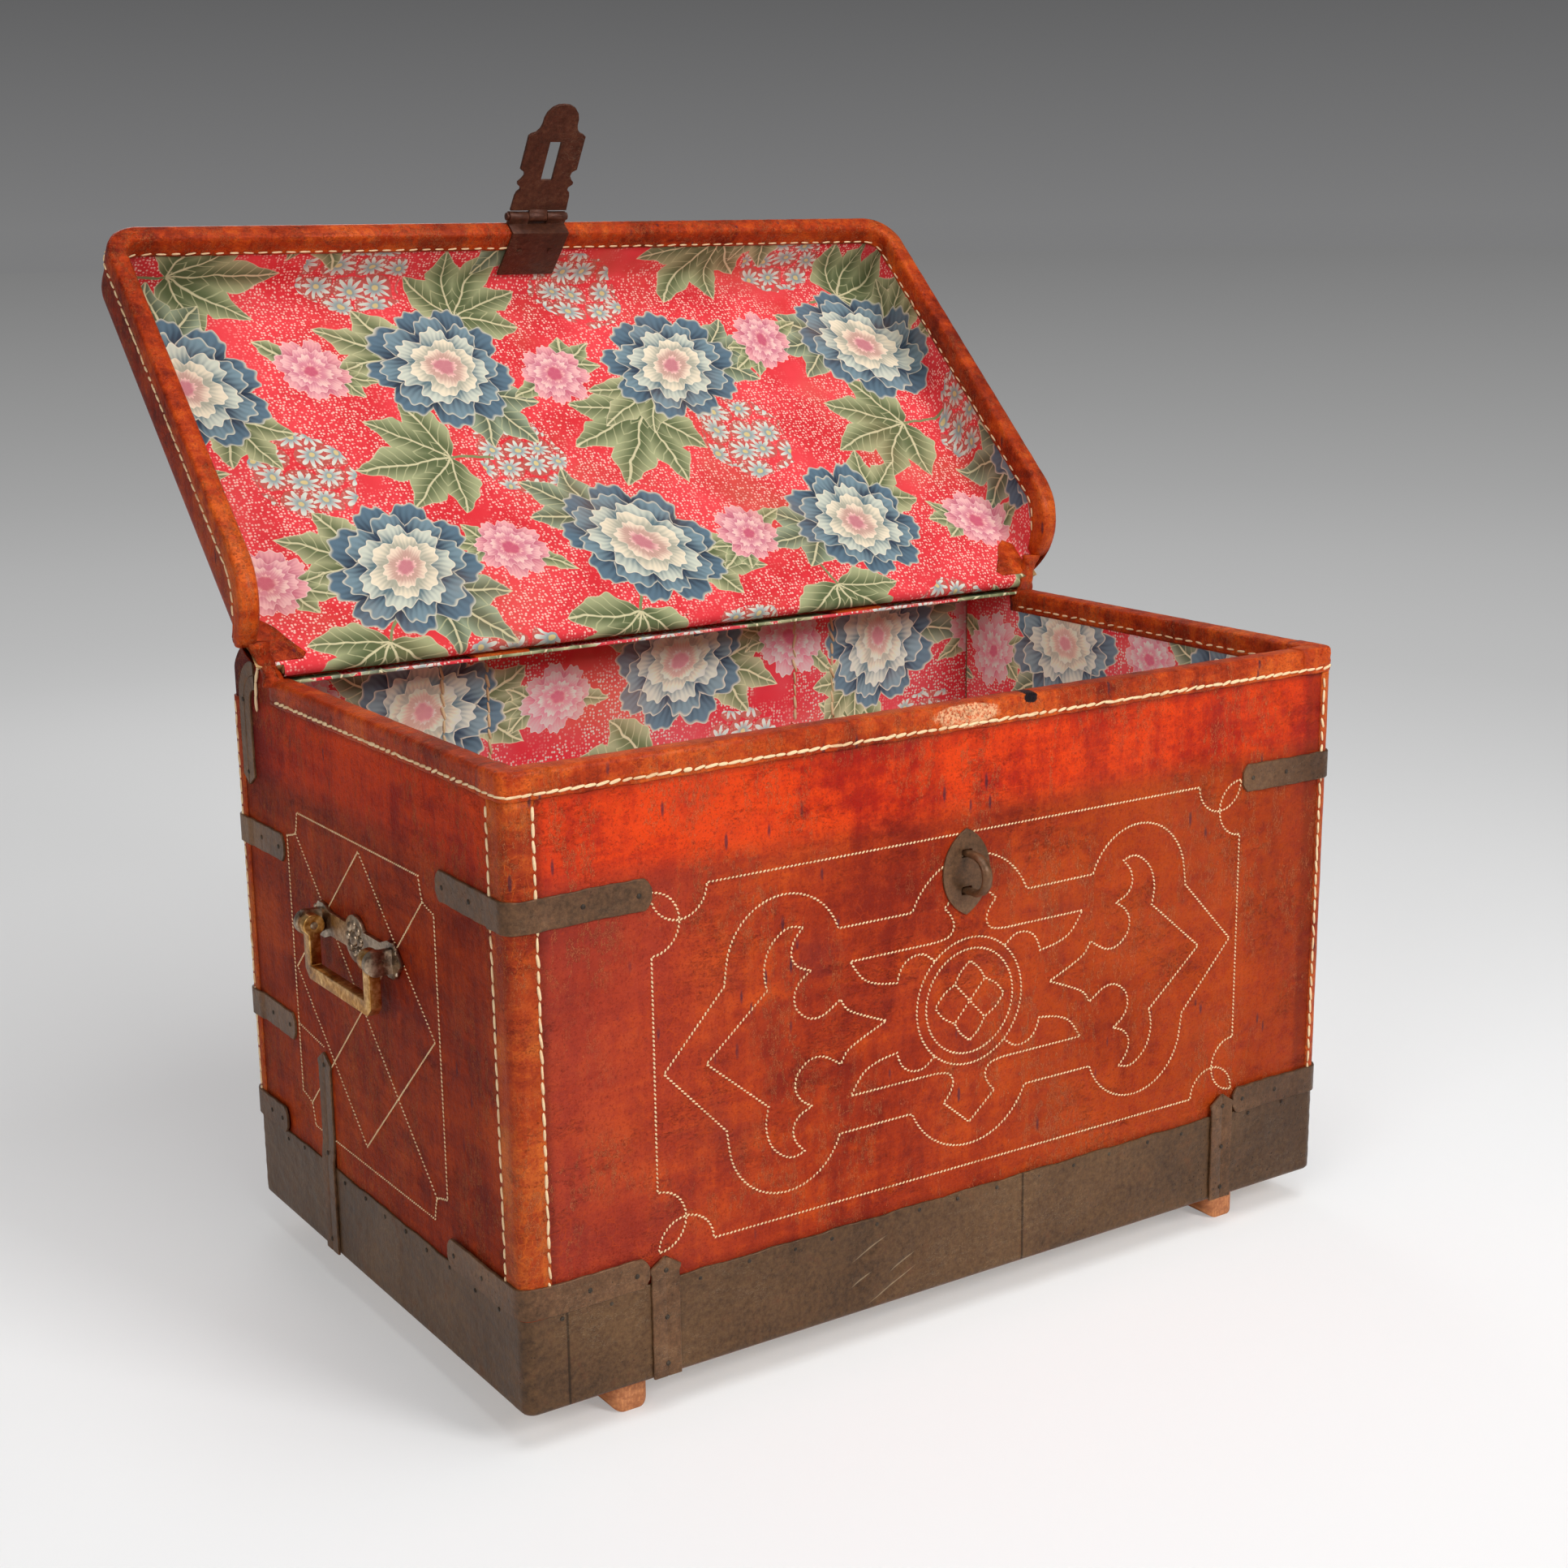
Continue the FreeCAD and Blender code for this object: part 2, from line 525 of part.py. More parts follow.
iron_outline = [
    [(iron_back, iron_foot), (iron_back, iron_centre[1])],
    [(iron_back, iron_centre[1]), round_point(iron_radius),
     (iron_centre[0], iron_centre[1] + iron_radius)],
    [(iron_centre[0], iron_centre[1] + iron_radius), (iron_centre[0], iron_centre[1] + iron_inner)],
    [(iron_centre[0], iron_centre[1] + iron_inner), round_point(iron_inner),
     (iron_centre[0] + iron_inner, iron_centre[1])],
    [(iron_centre[0] + iron_inner, iron_centre[1]), (iron_centre[0] + iron_inner, iron_foot)],
    [(iron_centre[0] + iron_inner, iron_foot), (iron_back, iron_foot)]]
shoulder_iron_left = side_extrusion(
    "shoulder_iron_left", iron_outline, "%s - strap_iron" % LEFT, LEFT)
shoulder_iron_right = mirrored("shoulder_iron_right", shoulder_iron_left)

# Wooden runners under the floor
runner_blank = block(
    "runner_blank", ("%s + runner_inset - runner_width / 2" % LEFT,
                     "%s + runner_inset + runner_width / 2" % LEFT),
    ("%s + runner_setback" % FRONT, "%s - runner_setback" % BACK), ("0", UNDERSIDE))


def is_runner_round(edge):
    """True for the runner's two long lower edges and its end corners."""
    low, high = edge.Vertexes[0].Point, edge.Vertexes[-1].Point
    long_and_low = abs(low.y - high.y) > size("runner_width") and low.z < size("overrun")
    return long_and_low or is_upright(edge)


runner_left = rounded("runner_left", runner_blank, size("runner_rounding"), is_runner_round)
runner_right = mirrored("runner_right", runner_left)


def lid_outline(inset, height, lean):
    """The lid's outline seen from above: square at the hinge, rounded at the front corners."""
    half = size(LID_HALF) - inset - lean
    front = size(LID_FRONT) + inset + lean
    corner = max(size("lid_corner_radius") - inset - lean, size("corner_radius") - inset / 2)
    slant = corner * (1 - SLANT_SHARE)
    points = [(-half, hinge_y), (-half, front + corner), (-half + slant, front + slant),
              (-half + corner, front), (half - corner, front), (half - slant, front + slant),
              (half, front + corner), (half, hinge_y)]
    a, b, c, d, e, f, g, h = [FreeCAD.Vector(x, y, height) for x, y in points]
    edges = [Part.LineSegment(a, b).toShape(), Part.Arc(b, c, d).toShape(),
             Part.LineSegment(d, e).toShape(), Part.Arc(e, f, g).toShape(),
             Part.LineSegment(g, h).toShape(), Part.LineSegment(h, a).toShape()]
    return Part.Wire(edges)


def lid_form(name, inset, top, radius):
    """The lid as one closed block: upright at the rim, then rounded in to the top."""
    low, bend = size(LID_RIM), size(top) - radius
    wires = [lid_outline(inset, low, 0)]
    for step in range(BEND_STEPS + 1):
        turn = math.pi / 2 * step / BEND_STEPS
        wires.append(lid_outline(inset, bend + radius * math.sin(turn), radius * (1 - math.cos(turn))))
    form = doc.addObject("Part::Feature", name)
    form.Shape = Part.makeLoft(wires, True, True)
    return form


lid_outer = lid_form("lid_outer", 0, LID_TOP, size("lid_edge_radius"))
lid_core = lid_form("lid_core", size("leather"), "%s - leather" % LID_TOP,
                    size("lid_edge_radius - leather"))
lid_inner = lid_form("lid_inner", size("leather + lid_wall_board"), "%s + lining" % LID_CEILING,
                     size("lid_inner_radius + lining"))
lid_hollow = lid_form("lid_hollow", size(LID_WALL), LID_CEILING, size("lid_inner_radius"))

# Side view of what is cut away behind the end walls' rounded heels
heel_y = size("%s - lid_heel_setback" % HINGE_Y)
heel_radius = size("lid_heel_radius")
heel_low = size(LID_RIM)
ceiling = size(LID_CEILING)
over = size("overrun")
heel_middle = (heel_y - heel_radius * (1 - SLANT_SHARE), heel_low + heel_radius * (1 - SLANT_SHARE))
heel_outline = [
    [(heel_y - heel_radius, heel_low), heel_middle, (heel_y, heel_low + heel_radius)],
    [(heel_y, heel_low + heel_radius), (heel_y, ceiling)],
    [(heel_y, ceiling), (hinge_y + over, ceiling)],
    [(hinge_y + over, ceiling), (hinge_y + over, heel_low - over)],
    [(hinge_y + over, heel_low - over), (heel_y - heel_radius, heel_low - over)],
    [(heel_y - heel_radius, heel_low - over), (heel_y - heel_radius, heel_low)]]
heel_cut = side_extrusion("heel_cut", heel_outline, "0 - %s - overrun" % LID_HALF,
                          "%s + overrun" % LID_HALF)

lid_boards = cut("lid_boards", lid_core, lid_inner, heel_cut)
RAIL = "(lid_edge_radius)"
LID_REAR = "%s + overrun" % HINGE_Y
LID_ZONE_Z = ("%s - overrun" % LID_RIM, "%s + overrun" % LID_TOP)
lid_front_rail = common("lid_front_rail", lid_boards, block(
    "lid_front_zone", ("0 - %s" % LID_HALF, LID_HALF), (LID_FRONT, "%s + %s" % (LID_FRONT, RAIL)),
    LID_ZONE_Z))
lid_left_rail = common("lid_left_rail", lid_boards, block(
    "lid_left_zone", ("0 - %s" % LID_HALF, "%s - %s" % (RAIL, LID_HALF)),
    ("%s + %s" % (LID_FRONT, RAIL), LID_REAR), LID_ZONE_Z))
lid_right_rail = mirrored("lid_right_rail", lid_left_rail)
TOP_SPAN = ("%s - %s" % (RAIL, LID_HALF), "%s - %s" % (LID_HALF, RAIL))
lid_top_sheet = common("lid_top_sheet", lid_boards, block(
    "lid_top_zone", TOP_SPAN, ("%s + %s" % (LID_FRONT, RAIL), LID_REAR), LID_ZONE_Z))
LID_BOARD_MIDDLE = "(%s + lining + lid_board / 2)" % LID_CEILING
x_direction = FreeCAD.Vector(1, 0, 0)
lid_top_round = common(
    "lid_top_round",
    rod("lid_top_rod", "lid_board / 2", "%s - (%s)" % (TOP_SPAN[1], TOP_SPAN[0]),
        (TOP_SPAN[0], HINGE_Y, LID_BOARD_MIDDLE), x_direction),
    block("lid_top_round_zone", TOP_SPAN, (HINGE_Y, "%s + lid_board" % HINGE_Y), LID_ZONE_Z))
lid_top_board = fuse("lid_top_board", lid_top_sheet, lid_top_round)

lid_skin = cut("lid_skin", lid_outer, lid_core, heel_cut)
lid_roll = cut(
    "lid_roll",
    common("lid_roll_half",
           rod("lid_roll_rod", "%s / 2" % LID_STACK, "%s - (%s)" % (TOP_SPAN[1], TOP_SPAN[0]),
               (TOP_SPAN[0], HINGE_Y, HINGE_Z), x_direction),
           block("lid_roll_zone", TOP_SPAN, (HINGE_Y, "%s + lid_board" % HINGE_Y), LID_ZONE_Z)),
    rod("lid_roll_core", "lid_board / 2", "%s - (%s)" % (TOP_SPAN[1], TOP_SPAN[0]),
        (TOP_SPAN[0], HINGE_Y, LID_BOARD_MIDDLE), x_direction))
lid_leather = fuse("lid_leather", lid_skin, lid_roll)
lid_lining = cut("lid_lining", lid_inner, lid_hollow, heel_cut)


def rim_prism(name, inset, low, high, rear):
    """An upright slice of the lid's outline near the rim."""
    wire = lid_outline(inset, size(low), 0)
    prism = doc.addObject("Part::Feature", name)
    solid = Part.Face(wire).extrude(FreeCAD.Vector(0, 0, size(high) - size(low)))
    behind = Part.makeBox(2 * size(LID_HALF) + 2 * over, hinge_y + over - size(rear),
                          size(high) - size(low),
                          FreeCAD.Vector(-size(LID_HALF) - over, size(rear), size(low)))
    prism.Shape = solid.cut(behind)
    return prism


LID_BAND = ("%s - trim_leather" % LID_RIM, "%s + binding_height" % LID_RIM)
HEEL_START = "(%s - lid_heel_setback - lid_heel_radius)" % HINGE_Y
lid_binding = cut(
    "lid_binding",
    rim_prism("lid_band", -size("trim_leather"), *LID_BAND, HEEL_START),
    rim_prism("lid_band_wall", size("0"), LID_RIM, "%s + overrun" % LID_BAND[1],
              "%s + overrun" % HEEL_START))
lid_band_void = rim_prism("lid_band_void", size("%s + trim_leather" % LID_WALL),
                          "%s - overrun" % LID_BAND[0], "%s + overrun" % LID_BAND[1],
                          "%s + overrun" % HEEL_START)
lid_band_inside = cut("lid_band_inside", rim_prism(
    "lid_band_lip", size(LID_WALL), *LID_BAND, HEEL_START), lid_band_void)
lid_band_outside = cut("lid_band_outside", lid_binding, lid_band_void)
lid_rim_binding = fuse("lid_rim_binding", lid_band_outside, lid_band_inside)

# Hasp, its leaf over the lid's front rim, and its pin
LEAF_INNER = "(%s + %s + trim_leather)" % (LID_FRONT, LID_WALL)
LEAF_OUTER = "(%s - trim_leather)" % LID_FRONT
LEAF_UNDER = "(%s - trim_leather)" % LID_RIM
PIN_Y = "(%s + hasp_iron / 2)" % LEAF_OUTER
PIN_Z = "(%s - hasp_leaf_iron - hasp_barrel_radius)" % LEAF_UNDER
LEAF_X = ("0 - hasp_width / 2", "hasp_width / 2")
leaf_y, leaf_iron = size(LEAF_INNER), size("hasp_leaf_iron")
leaf_bottom = size("%s - hasp_leaf_iron" % LEAF_UNDER)
leaf_top = size("%s + hasp_leaf_length" % LEAF_UNDER)
leaf_sheet = side_extrusion("leaf_sheet", polygon([
    (size(PIN_Y), leaf_bottom), (size(PIN_Y), size(LEAF_UNDER)), (leaf_y, size(LEAF_UNDER)),
    (leaf_y, leaf_top), (leaf_y + leaf_iron, leaf_top), (leaf_y + leaf_iron, leaf_bottom)]), *LEAF_X)
leaf_barrel = rod("leaf_barrel", "hasp_barrel_radius", "hasp_width",
                  (LEAF_X[0], PIN_Y, PIN_Z), x_direction)
leaf_seat = block("leaf_seat", LEAF_X, (PIN_Y, "%s + hasp_barrel_radius" % PIN_Y),
                  (PIN_Z, "%s - hasp_leaf_iron" % LEAF_UNDER))
knuckle_gap = block(
    "knuckle_gap", ("0 - hasp_knuckle_width / 2 - fit_gap", "hasp_knuckle_width / 2 + fit_gap"),
    ("%s - hasp_barrel_radius - overrun" % PIN_Y, "%s + hasp_barrel_radius + fit_gap" % PIN_Y),
    ("%s - hasp_barrel_radius - overrun" % PIN_Z, "%s + hasp_barrel_radius + fit_gap" % PIN_Z))
pin_bore = rod("pin_bore", "hasp_pin_radius + hasp_pin_play", "hasp_width + 2 * overrun",
               ("0 - hasp_width / 2 - overrun", PIN_Y, PIN_Z), x_direction)
hasp_leaf = cut("hasp_leaf", fuse("leaf_blank", leaf_sheet, leaf_barrel, leaf_seat), knuckle_gap,
                pin_bore)
pin_shank = rod("pin_shank", "hasp_pin_radius", "hasp_width + 2 * hasp_pin_head",
                ("0 - hasp_width / 2 - hasp_pin_head", PIN_Y, PIN_Z), x_direction)
pin_head_left = rod("pin_head_left", "hasp_pin_head_radius", "hasp_pin_head",
                    ("0 - hasp_width / 2 - hasp_pin_head", PIN_Y, PIN_Z), x_direction)
pin_head_right = rod("pin_head_right", "hasp_pin_head_radius", "hasp_pin_head",
                     ("hasp_width / 2", PIN_Y, PIN_Z), x_direction)
hasp_pin = fuse("hasp_pin", pin_shank, pin_head_left, pin_head_right)

plate_half_width = size("hasp_width / 2")
hasp_top = -size("hasp_drop")
shoulder_z = -size("hasp_shoulder_drop")
hasp_tip = -size("hasp_length")
head = size("hasp_head_radius")
waist_z = -size("hasp_waist_drop")
waist = size("hasp_waist_width / 2")
notch = (plate_half_width - waist) * WAIST_NOTCH_SHARE
hasp_half = [
    (plate_half_width, hasp_top), (waist + notch, waist_z), (waist, waist_z),
    (waist, waist_z - notch), (plate_half_width - notch, waist_z - 2 * notch),
    (plate_half_width, waist_z - 4 * notch), (plate_half_width, shoulder_z), (head, shoulder_z)]
hasp_segments = [[hasp_half[index], hasp_half[index + 1]] for index in range(len(hasp_half) - 1)]
hasp_segments += [[(-q[0], q[1]), (-p[0], p[1])] for p, q in hasp_segments]
hasp_segments += [[(head, shoulder_z), (0, hasp_tip), (-head, shoulder_z)],
                  [(-plate_half_width, hasp_top), (plate_half_width, hasp_top)]]
slot_half = size("hasp_slot_width / 2")
slot_low = -size("hasp_slot_drop + hasp_slot_length / 2")
slot_high = -size("hasp_slot_drop - hasp_slot_length / 2")
slot = polygon([(-slot_half, slot_low), (slot_half, slot_low), (slot_half, slot_high),
                (-slot_half, slot_high)])
hasp_sheet = padded_outline("hasp_sheet", "XZ_Plane", hasp_segments, "hasp_iron", [slot])
place(hasp_sheet, y=PIN_Y, z=PIN_Z)
KNUCKLE_X = ("0 - hasp_knuckle_width / 2", "hasp_knuckle_width / 2")
hasp_knuckle = rod("hasp_knuckle", "hasp_barrel_radius", "hasp_knuckle_width",
                   (KNUCKLE_X[0], PIN_Y, PIN_Z), x_direction)
hasp_neck = block("hasp_neck", KNUCKLE_X,
                  ("%s - hasp_iron / 2" % PIN_Y, "%s + hasp_iron / 2" % PIN_Y),
                  ("%s - hasp_drop - overrun" % PIN_Z, PIN_Z))
hasp_plate = cut("hasp_plate", fuse("hasp_blank", hasp_sheet, hasp_neck, hasp_knuckle), pin_bore)

# Brass handle on the left end: plate with two lugs and their pins, and the bail that swings on them
HANDLE_Y = "(%s - handle_setback)" % BACK
HANDLE_Z = "(runner_height + handle_height)"
HANDLE_X = "(%s - handle_plate_iron)" % LEFT
PIVOT_X = "(%s - handle_stand_off)" % LEFT
half_length = size("handle_plate_length / 2")
rosette = size("handle_rosette_radius")
neck_half = size("handle_neck_height / 2")
leaf_half = size("handle_leaf_height / 2")
lug_half = size("lug_spacing / 2")
neck_y = math.sqrt(rosette * rosette - neck_half * neck_half)
leaf_y = half_length * LEAF_SHARE
handle_right = [(neck_y, neck_half), (lug_half * LEAF_SHARE, neck_half), (leaf_y, leaf_half),
                (half_length - leaf_half, leaf_half), (half_length - leaf_half / 2, leaf_half / 2),
                (half_length, 0)]
handle_edges = [[handle_right[index], handle_right[index + 1]]
                for index in range(len(handle_right) - 1)]
handle_edges += [[(p[0], -p[1]), (q[0], -q[1])] for p, q in handle_edges]
handle_edges += [[(-p[0], p[1]), (-q[0], q[1])] for p, q in handle_edges]
handle_edges += [[(-neck_y, neck_half), (0, rosette), (neck_y, neck_half)],
                 [(-neck_y, -neck_half), (0, -rosette), (neck_y, -neck_half)]]
handle_sheet = padded_outline("handle_sheet", "YZ_Plane", handle_edges, "handle_plate_iron")
place(handle_sheet, "%s + handle_plate_iron / 2" % HANDLE_X, HANDLE_Y, HANDLE_Z)
y_direction = FreeCAD.Vector(0, 1, 0)
lug_pieces = [handle_sheet]
for end_name, end in (("front", -1), ("back", 1)):
    lug_low = "%s + (%d * lug_spacing - lug_thickness) / 2" % (HANDLE_Y, end)
    lug_high = "%s + (%d * lug_spacing + lug_thickness) / 2" % (HANDLE_Y, end)
    lug_pieces.append(rod("lug_" + end_name, "lug_radius", "lug_thickness",
                          (PIVOT_X, lug_low, HANDLE_Z), y_direction))
    lug_pieces.append(block("lug_neck_" + end_name, (PIVOT_X, LEFT), (lug_low, lug_high),
                            ("%s - handle_neck_height / 2" % HANDLE_Z,
                             "%s + handle_neck_height / 2" % HANDLE_Z)))
    pin_start = "%s - lug_thickness - bail_leg - lug_play" % lug_high if end > 0 else lug_low
    lug_pieces.append(rod("bail_pin_" + end_name, "bail_pin_radius",
                          "lug_thickness + bail_leg + lug_play", (PIVOT_X, pin_start, HANDLE_Z),
                          y_direction))
handle_plate_left = fuse("handle_plate_left", *lug_pieces)
handle_plate_right = mirrored("handle_plate_right", handle_plate_left)

leg_outer = size("(bail_spacing + bail_leg) / 2")
leg_inner = size("(bail_spacing - bail_leg) / 2")
grip_low = -size("bail_drop + bail_grip / 2")
grip_high = -size("bail_drop - bail_grip / 2")
bail_cut = size("bail_chamfer")
bail_sheet = padded_outline("bail_sheet", "YZ_Plane", polygon([
    (-leg_outer, 0), (-leg_inner, 0), (-leg_inner, grip_high), (leg_inner, grip_high),
    (leg_inner, 0), (leg_outer, 0), (leg_outer, grip_low + bail_cut),
    (leg_outer - bail_cut, grip_low), (bail_cut - leg_outer, grip_low),
    (-leg_outer, grip_low + bail_cut)]), "bail_thickness")
place(bail_sheet, PIVOT_X, HANDLE_Y, HANDLE_Z)
eyes = [rod("bail_eye_" + end_name, "bail_eye_radius", "bail_leg",
            (PIVOT_X, "%s + (%d * bail_spacing - bail_leg) / 2" % (HANDLE_Y, end), HANDLE_Z),
            y_direction) for end_name, end in (("front", -1), ("back", 1))]
eye_bores = [rod("bail_bore_" + end_name, "bail_pin_radius + bail_pin_play",
                 "bail_leg + 2 * overrun",
                 (PIVOT_X, "%s + (%d * bail_spacing - bail_leg) / 2 - overrun" % (HANDLE_Y, end),
                  HANDLE_Z), y_direction) for end_name, end in (("front", -1), ("back", 1))]
bail_left = cut("bail_left", fuse("bail_blank", bail_sheet, *eyes), *eye_bores)
bail_right = mirrored("bail_right", bail_left)

# Nail heads: two or three on each leg of a strap, and a row along the top of the band
nails = []


def nail(x, y, z, direction):
    """One low nail head standing on an iron face."""
    head_name = "nail_%d" % (len(nails) + 1)
    nails.append(rod(head_name, "nail_radius", "nail_height", (x, y, z), direction))


minus_x, minus_y = FreeCAD.Vector(-1, 0, 0), FreeCAD.Vector(0, -1, 0)
STRAP_FACE = "trim_leather + strap_iron"
FRONT_FACE = "%s - (%s)" % (FRONT, STRAP_FACE)
BACK_FACE = "%s + %s" % (BACK, STRAP_FACE)
BAND_FACE = "trim_leather"


def end_face(side, layer):
    """The X of a layer's face on the left (-1) or right (1) end, and its outward direction."""
    return "%d * (body_width / 2 + %s)" % (side, layer), FreeCAD.Vector(side, 0, 0)


upper_z = "%s + upper_strap_height" % UNDERSIDE
base_z = "%s + base_strap_height - strap_width / 2" % UNDERSIDE
for side in (-1, 1):
    face_x, outward = end_face(side, STRAP_FACE)
    for height, front_leg, end_leg in ((upper_z, "front_strap_leg", "side_strap_leg"),
                                       (base_z, "base_strap_leg", "front_strap_leg")):
        nail("%d * (body_width / 2 - (%s - nail_inset))" % (side, front_leg), FRONT_FACE, height,
             minus_y)
        nail("%d * (body_width / 2 - %s / 2)" % (side, front_leg), FRONT_FACE, height, minus_y)
        nail(face_x, "%s + %s - nail_inset" % (FRONT, end_leg), height, outward)
        nail(face_x, "%s + %s / 2" % (FRONT, end_leg), height, outward)
    for height, leg in (("%s + back_upper_height" % UNDERSIDE, "back_strap_leg"),
                        ("%s + back_lower_height" % UNDERSIDE, "back_strap_leg"),
                        (base_z, "back_base_leg")):
        nail("%d * (body_width / 2 - (%s - nail_inset))" % (side, leg), BACK_FACE, height,
             y_direction)
        nail(face_x, "%s - %s + nail_inset" % (BACK, leg), height, outward)
    for height in ("nail_inset", "base_post_height / 2", "base_post_height - nail_inset"):
        nail("%d * (body_width / 2 - base_post_inset)" % side, FRONT_FACE,
             "%s + %s" % (UNDERSIDE, height), minus_y)
    for height in ("nail_inset", "side_post_height / 2", "side_post_height - nail_inset"):
        nail(face_x, "%s - side_post_setback" % BACK, "%s + %s" % (UNDERSIDE, height), outward)
    iron_x = "%d * (body_width / 2 + strap_iron)" % side
    iron_y = "%s - shoulder_iron_setback - shoulder_iron_width / 2" % BACK
    nail(iron_x, iron_y, "%s - shoulder_iron_drop + nail_inset" % RIM, outward)
    nail(iron_x, iron_y, SHOULDER_FOOT, outward)

band_nail_z = "%s - band_nail_drop" % BAND_TOP
clear_width = size("body_width - 2 * (base_post_inset + strap_width)")
front_count = int(clear_width // size("band_nail_pitch"))
for index in range(front_count + 1):
    band_x = "(%d - %d / 2) * band_nail_pitch" % (index, front_count)
    nail(band_x, "%s - %s" % (FRONT, BAND_FACE), band_nail_z, minus_y)
    nail(band_x, "%s + %s" % (BACK, BAND_FACE), band_nail_z, y_direction)
end_start = "%s + front_strap_leg + strap_width / 2" % FRONT
end_room = size("body_depth - front_strap_leg - side_post_setback - 2 * strap_width")
for index in range(int(end_room // size("band_nail_pitch")) + 1):
    for side in (-1, 1):
        band_face, outward = end_face(side, BAND_FACE)
        nail(band_face, "%s + %d * band_nail_pitch" % (end_start, index), band_nail_z, outward)
strap_nails = doc.addObject("Part::Compound", "strap_nails")
strap_nails.Links = nails

# Rivets of the hasp's leaf
rivets = [rod("leaf_rivet_%s" % name, "nail_radius", "nail_height",
              ("%d * rivet_spacing / 2" % side, "%s + hasp_leaf_iron" % LEAF_INNER,
               "%s + rivet_height" % LEAF_UNDER), y_direction)
          for name, side in (("left", -1), ("right", 1))]
hasp_rivets = doc.addObject("Part::Compound", "hasp_rivets")
hasp_rivets.Links = rivets

# Which features are the trunk's pieces, and which of them swing with the lid and the hasp
BODY_PIECES = [
    "floor_board", "front_board", "left_end_board", "right_end_board", "back_board",
    "shoulder_board", "front_leather", "left_leather", "right_leather", "back_leather",
    "lining_walls", "lining_floor", "hinge_strap_left", "hinge_strap_right",
    "corner_strip_front_left", "corner_strip_front_right", "corner_strip_back_left",
    "corner_strip_back_right", "rim_binding", "band_front", "band_back", "band_left", "band_right",
    "upper_iron_front_left", "upper_iron_front_right", "base_iron_front_left",
    "base_iron_front_right", "upper_iron_back_left", "upper_iron_back_right",
    "lower_iron_back_left", "lower_iron_back_right", "base_iron_back_left",
    "base_iron_back_right", "front_post_left", "front_post_right", "side_post_left",
    "side_post_right", "shoulder_iron_left", "shoulder_iron_right", "runner_left", "runner_right",
    "staple", "staple_plate", "handle_plate_left", "handle_plate_right", "bail_left", "bail_right",
    "strap_nails"]
LID_PIECES = ["lid_top_board", "lid_front_rail", "lid_left_rail", "lid_leather", "lid_lining",
              "lid_rim_binding", "hasp_leaf", "hasp_pin", "hasp_rivets"]
MIRRORED_LID_PIECES = ["lid_right_rail"]
HASP_PIECES = ["hasp_plate"]

doc.recompute()
hinge_line = FreeCAD.Vector(0, hinge_y, hinge_z)
pin_line = FreeCAD.Vector(0, size(PIN_Y), size(PIN_Z))
opened = FreeCAD.Placement(
    FreeCAD.Vector(), FreeCAD.Rotation(x_direction, -size("open_angle")), hinge_line)
swung = FreeCAD.Placement(
    FreeCAD.Vector(), FreeCAD.Rotation(x_direction, -size("hasp_rest_angle")), pin_line)
for name in LID_PIECES:
    doc.getObject(name).Placement = opened
for name in HASP_PIECES:
    doc.getObject(name).Placement = opened.multiply(swung)
doc.recompute()

PIECES = BODY_PIECES + LID_PIECES + MIRRORED_LID_PIECES + HASP_PIECES
for feature in doc.Objects:
    if "Invalid" in feature.State or "Error" in feature.State:
        raise RuntimeError("%s did not build: %s" % (feature.Name, feature.State))
for name in PIECES:
    piece = doc.getObject(name)
    piece.Label = name
    if piece.Shape.isNull() or not piece.Shape.isValid():
        raise RuntimeError("%s has no valid shape" % name)

os.makedirs("parts", exist_ok=True)
for name in PIECES:
    doc.getObject(name).Shape.exportStep("parts/%s.step" % name)
print("pieces", len(PIECES))
print("frame setback", round(size("frame_setback"), 3))
print("hinge line y, z", round(hinge_y, 3), round(hinge_z, 3))
print("hasp pin, lid open", [round(value, 3) for value in opened.multVec(pin_line)])
print("handle pivots x, y, z", [round(size(text), 3) for text in (PIVOT_X, HANDLE_Y, HANDLE_Z)])
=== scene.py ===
import json
import math
from functools import partialmethod

import bpy
import numpy as np
from mathutils import Matrix, Vector


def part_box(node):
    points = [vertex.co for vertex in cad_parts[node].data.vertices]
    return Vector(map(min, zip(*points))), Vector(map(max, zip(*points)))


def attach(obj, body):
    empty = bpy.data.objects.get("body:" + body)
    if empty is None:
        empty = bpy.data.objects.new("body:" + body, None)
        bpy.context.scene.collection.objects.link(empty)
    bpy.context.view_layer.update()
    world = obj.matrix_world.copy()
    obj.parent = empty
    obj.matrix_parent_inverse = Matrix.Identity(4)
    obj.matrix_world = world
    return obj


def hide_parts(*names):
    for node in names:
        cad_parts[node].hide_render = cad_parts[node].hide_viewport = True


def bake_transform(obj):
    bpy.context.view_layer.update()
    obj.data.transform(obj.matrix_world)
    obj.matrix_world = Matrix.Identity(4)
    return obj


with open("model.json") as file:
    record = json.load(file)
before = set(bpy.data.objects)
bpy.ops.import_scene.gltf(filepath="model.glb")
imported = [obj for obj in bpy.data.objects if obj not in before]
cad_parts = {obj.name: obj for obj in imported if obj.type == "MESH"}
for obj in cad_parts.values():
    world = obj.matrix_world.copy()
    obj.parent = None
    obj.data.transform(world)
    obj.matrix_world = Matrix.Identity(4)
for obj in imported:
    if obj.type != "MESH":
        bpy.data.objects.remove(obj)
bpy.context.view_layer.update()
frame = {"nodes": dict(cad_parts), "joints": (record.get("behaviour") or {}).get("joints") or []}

# The trunk stands on a plain pale floor in soft studio light. The camera looks at its front left
# corner from a little above the rim, with a slight roll, as it does in the photograph.
MM = 0.001
skin_low, skin_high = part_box("front_leather")
HALF, FRONT, UNDERSIDE, RIM = skin_high.x, skin_low.y, skin_low.z, skin_high.z
BACK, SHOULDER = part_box("back_leather")[1].y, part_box("back_leather")[1].z
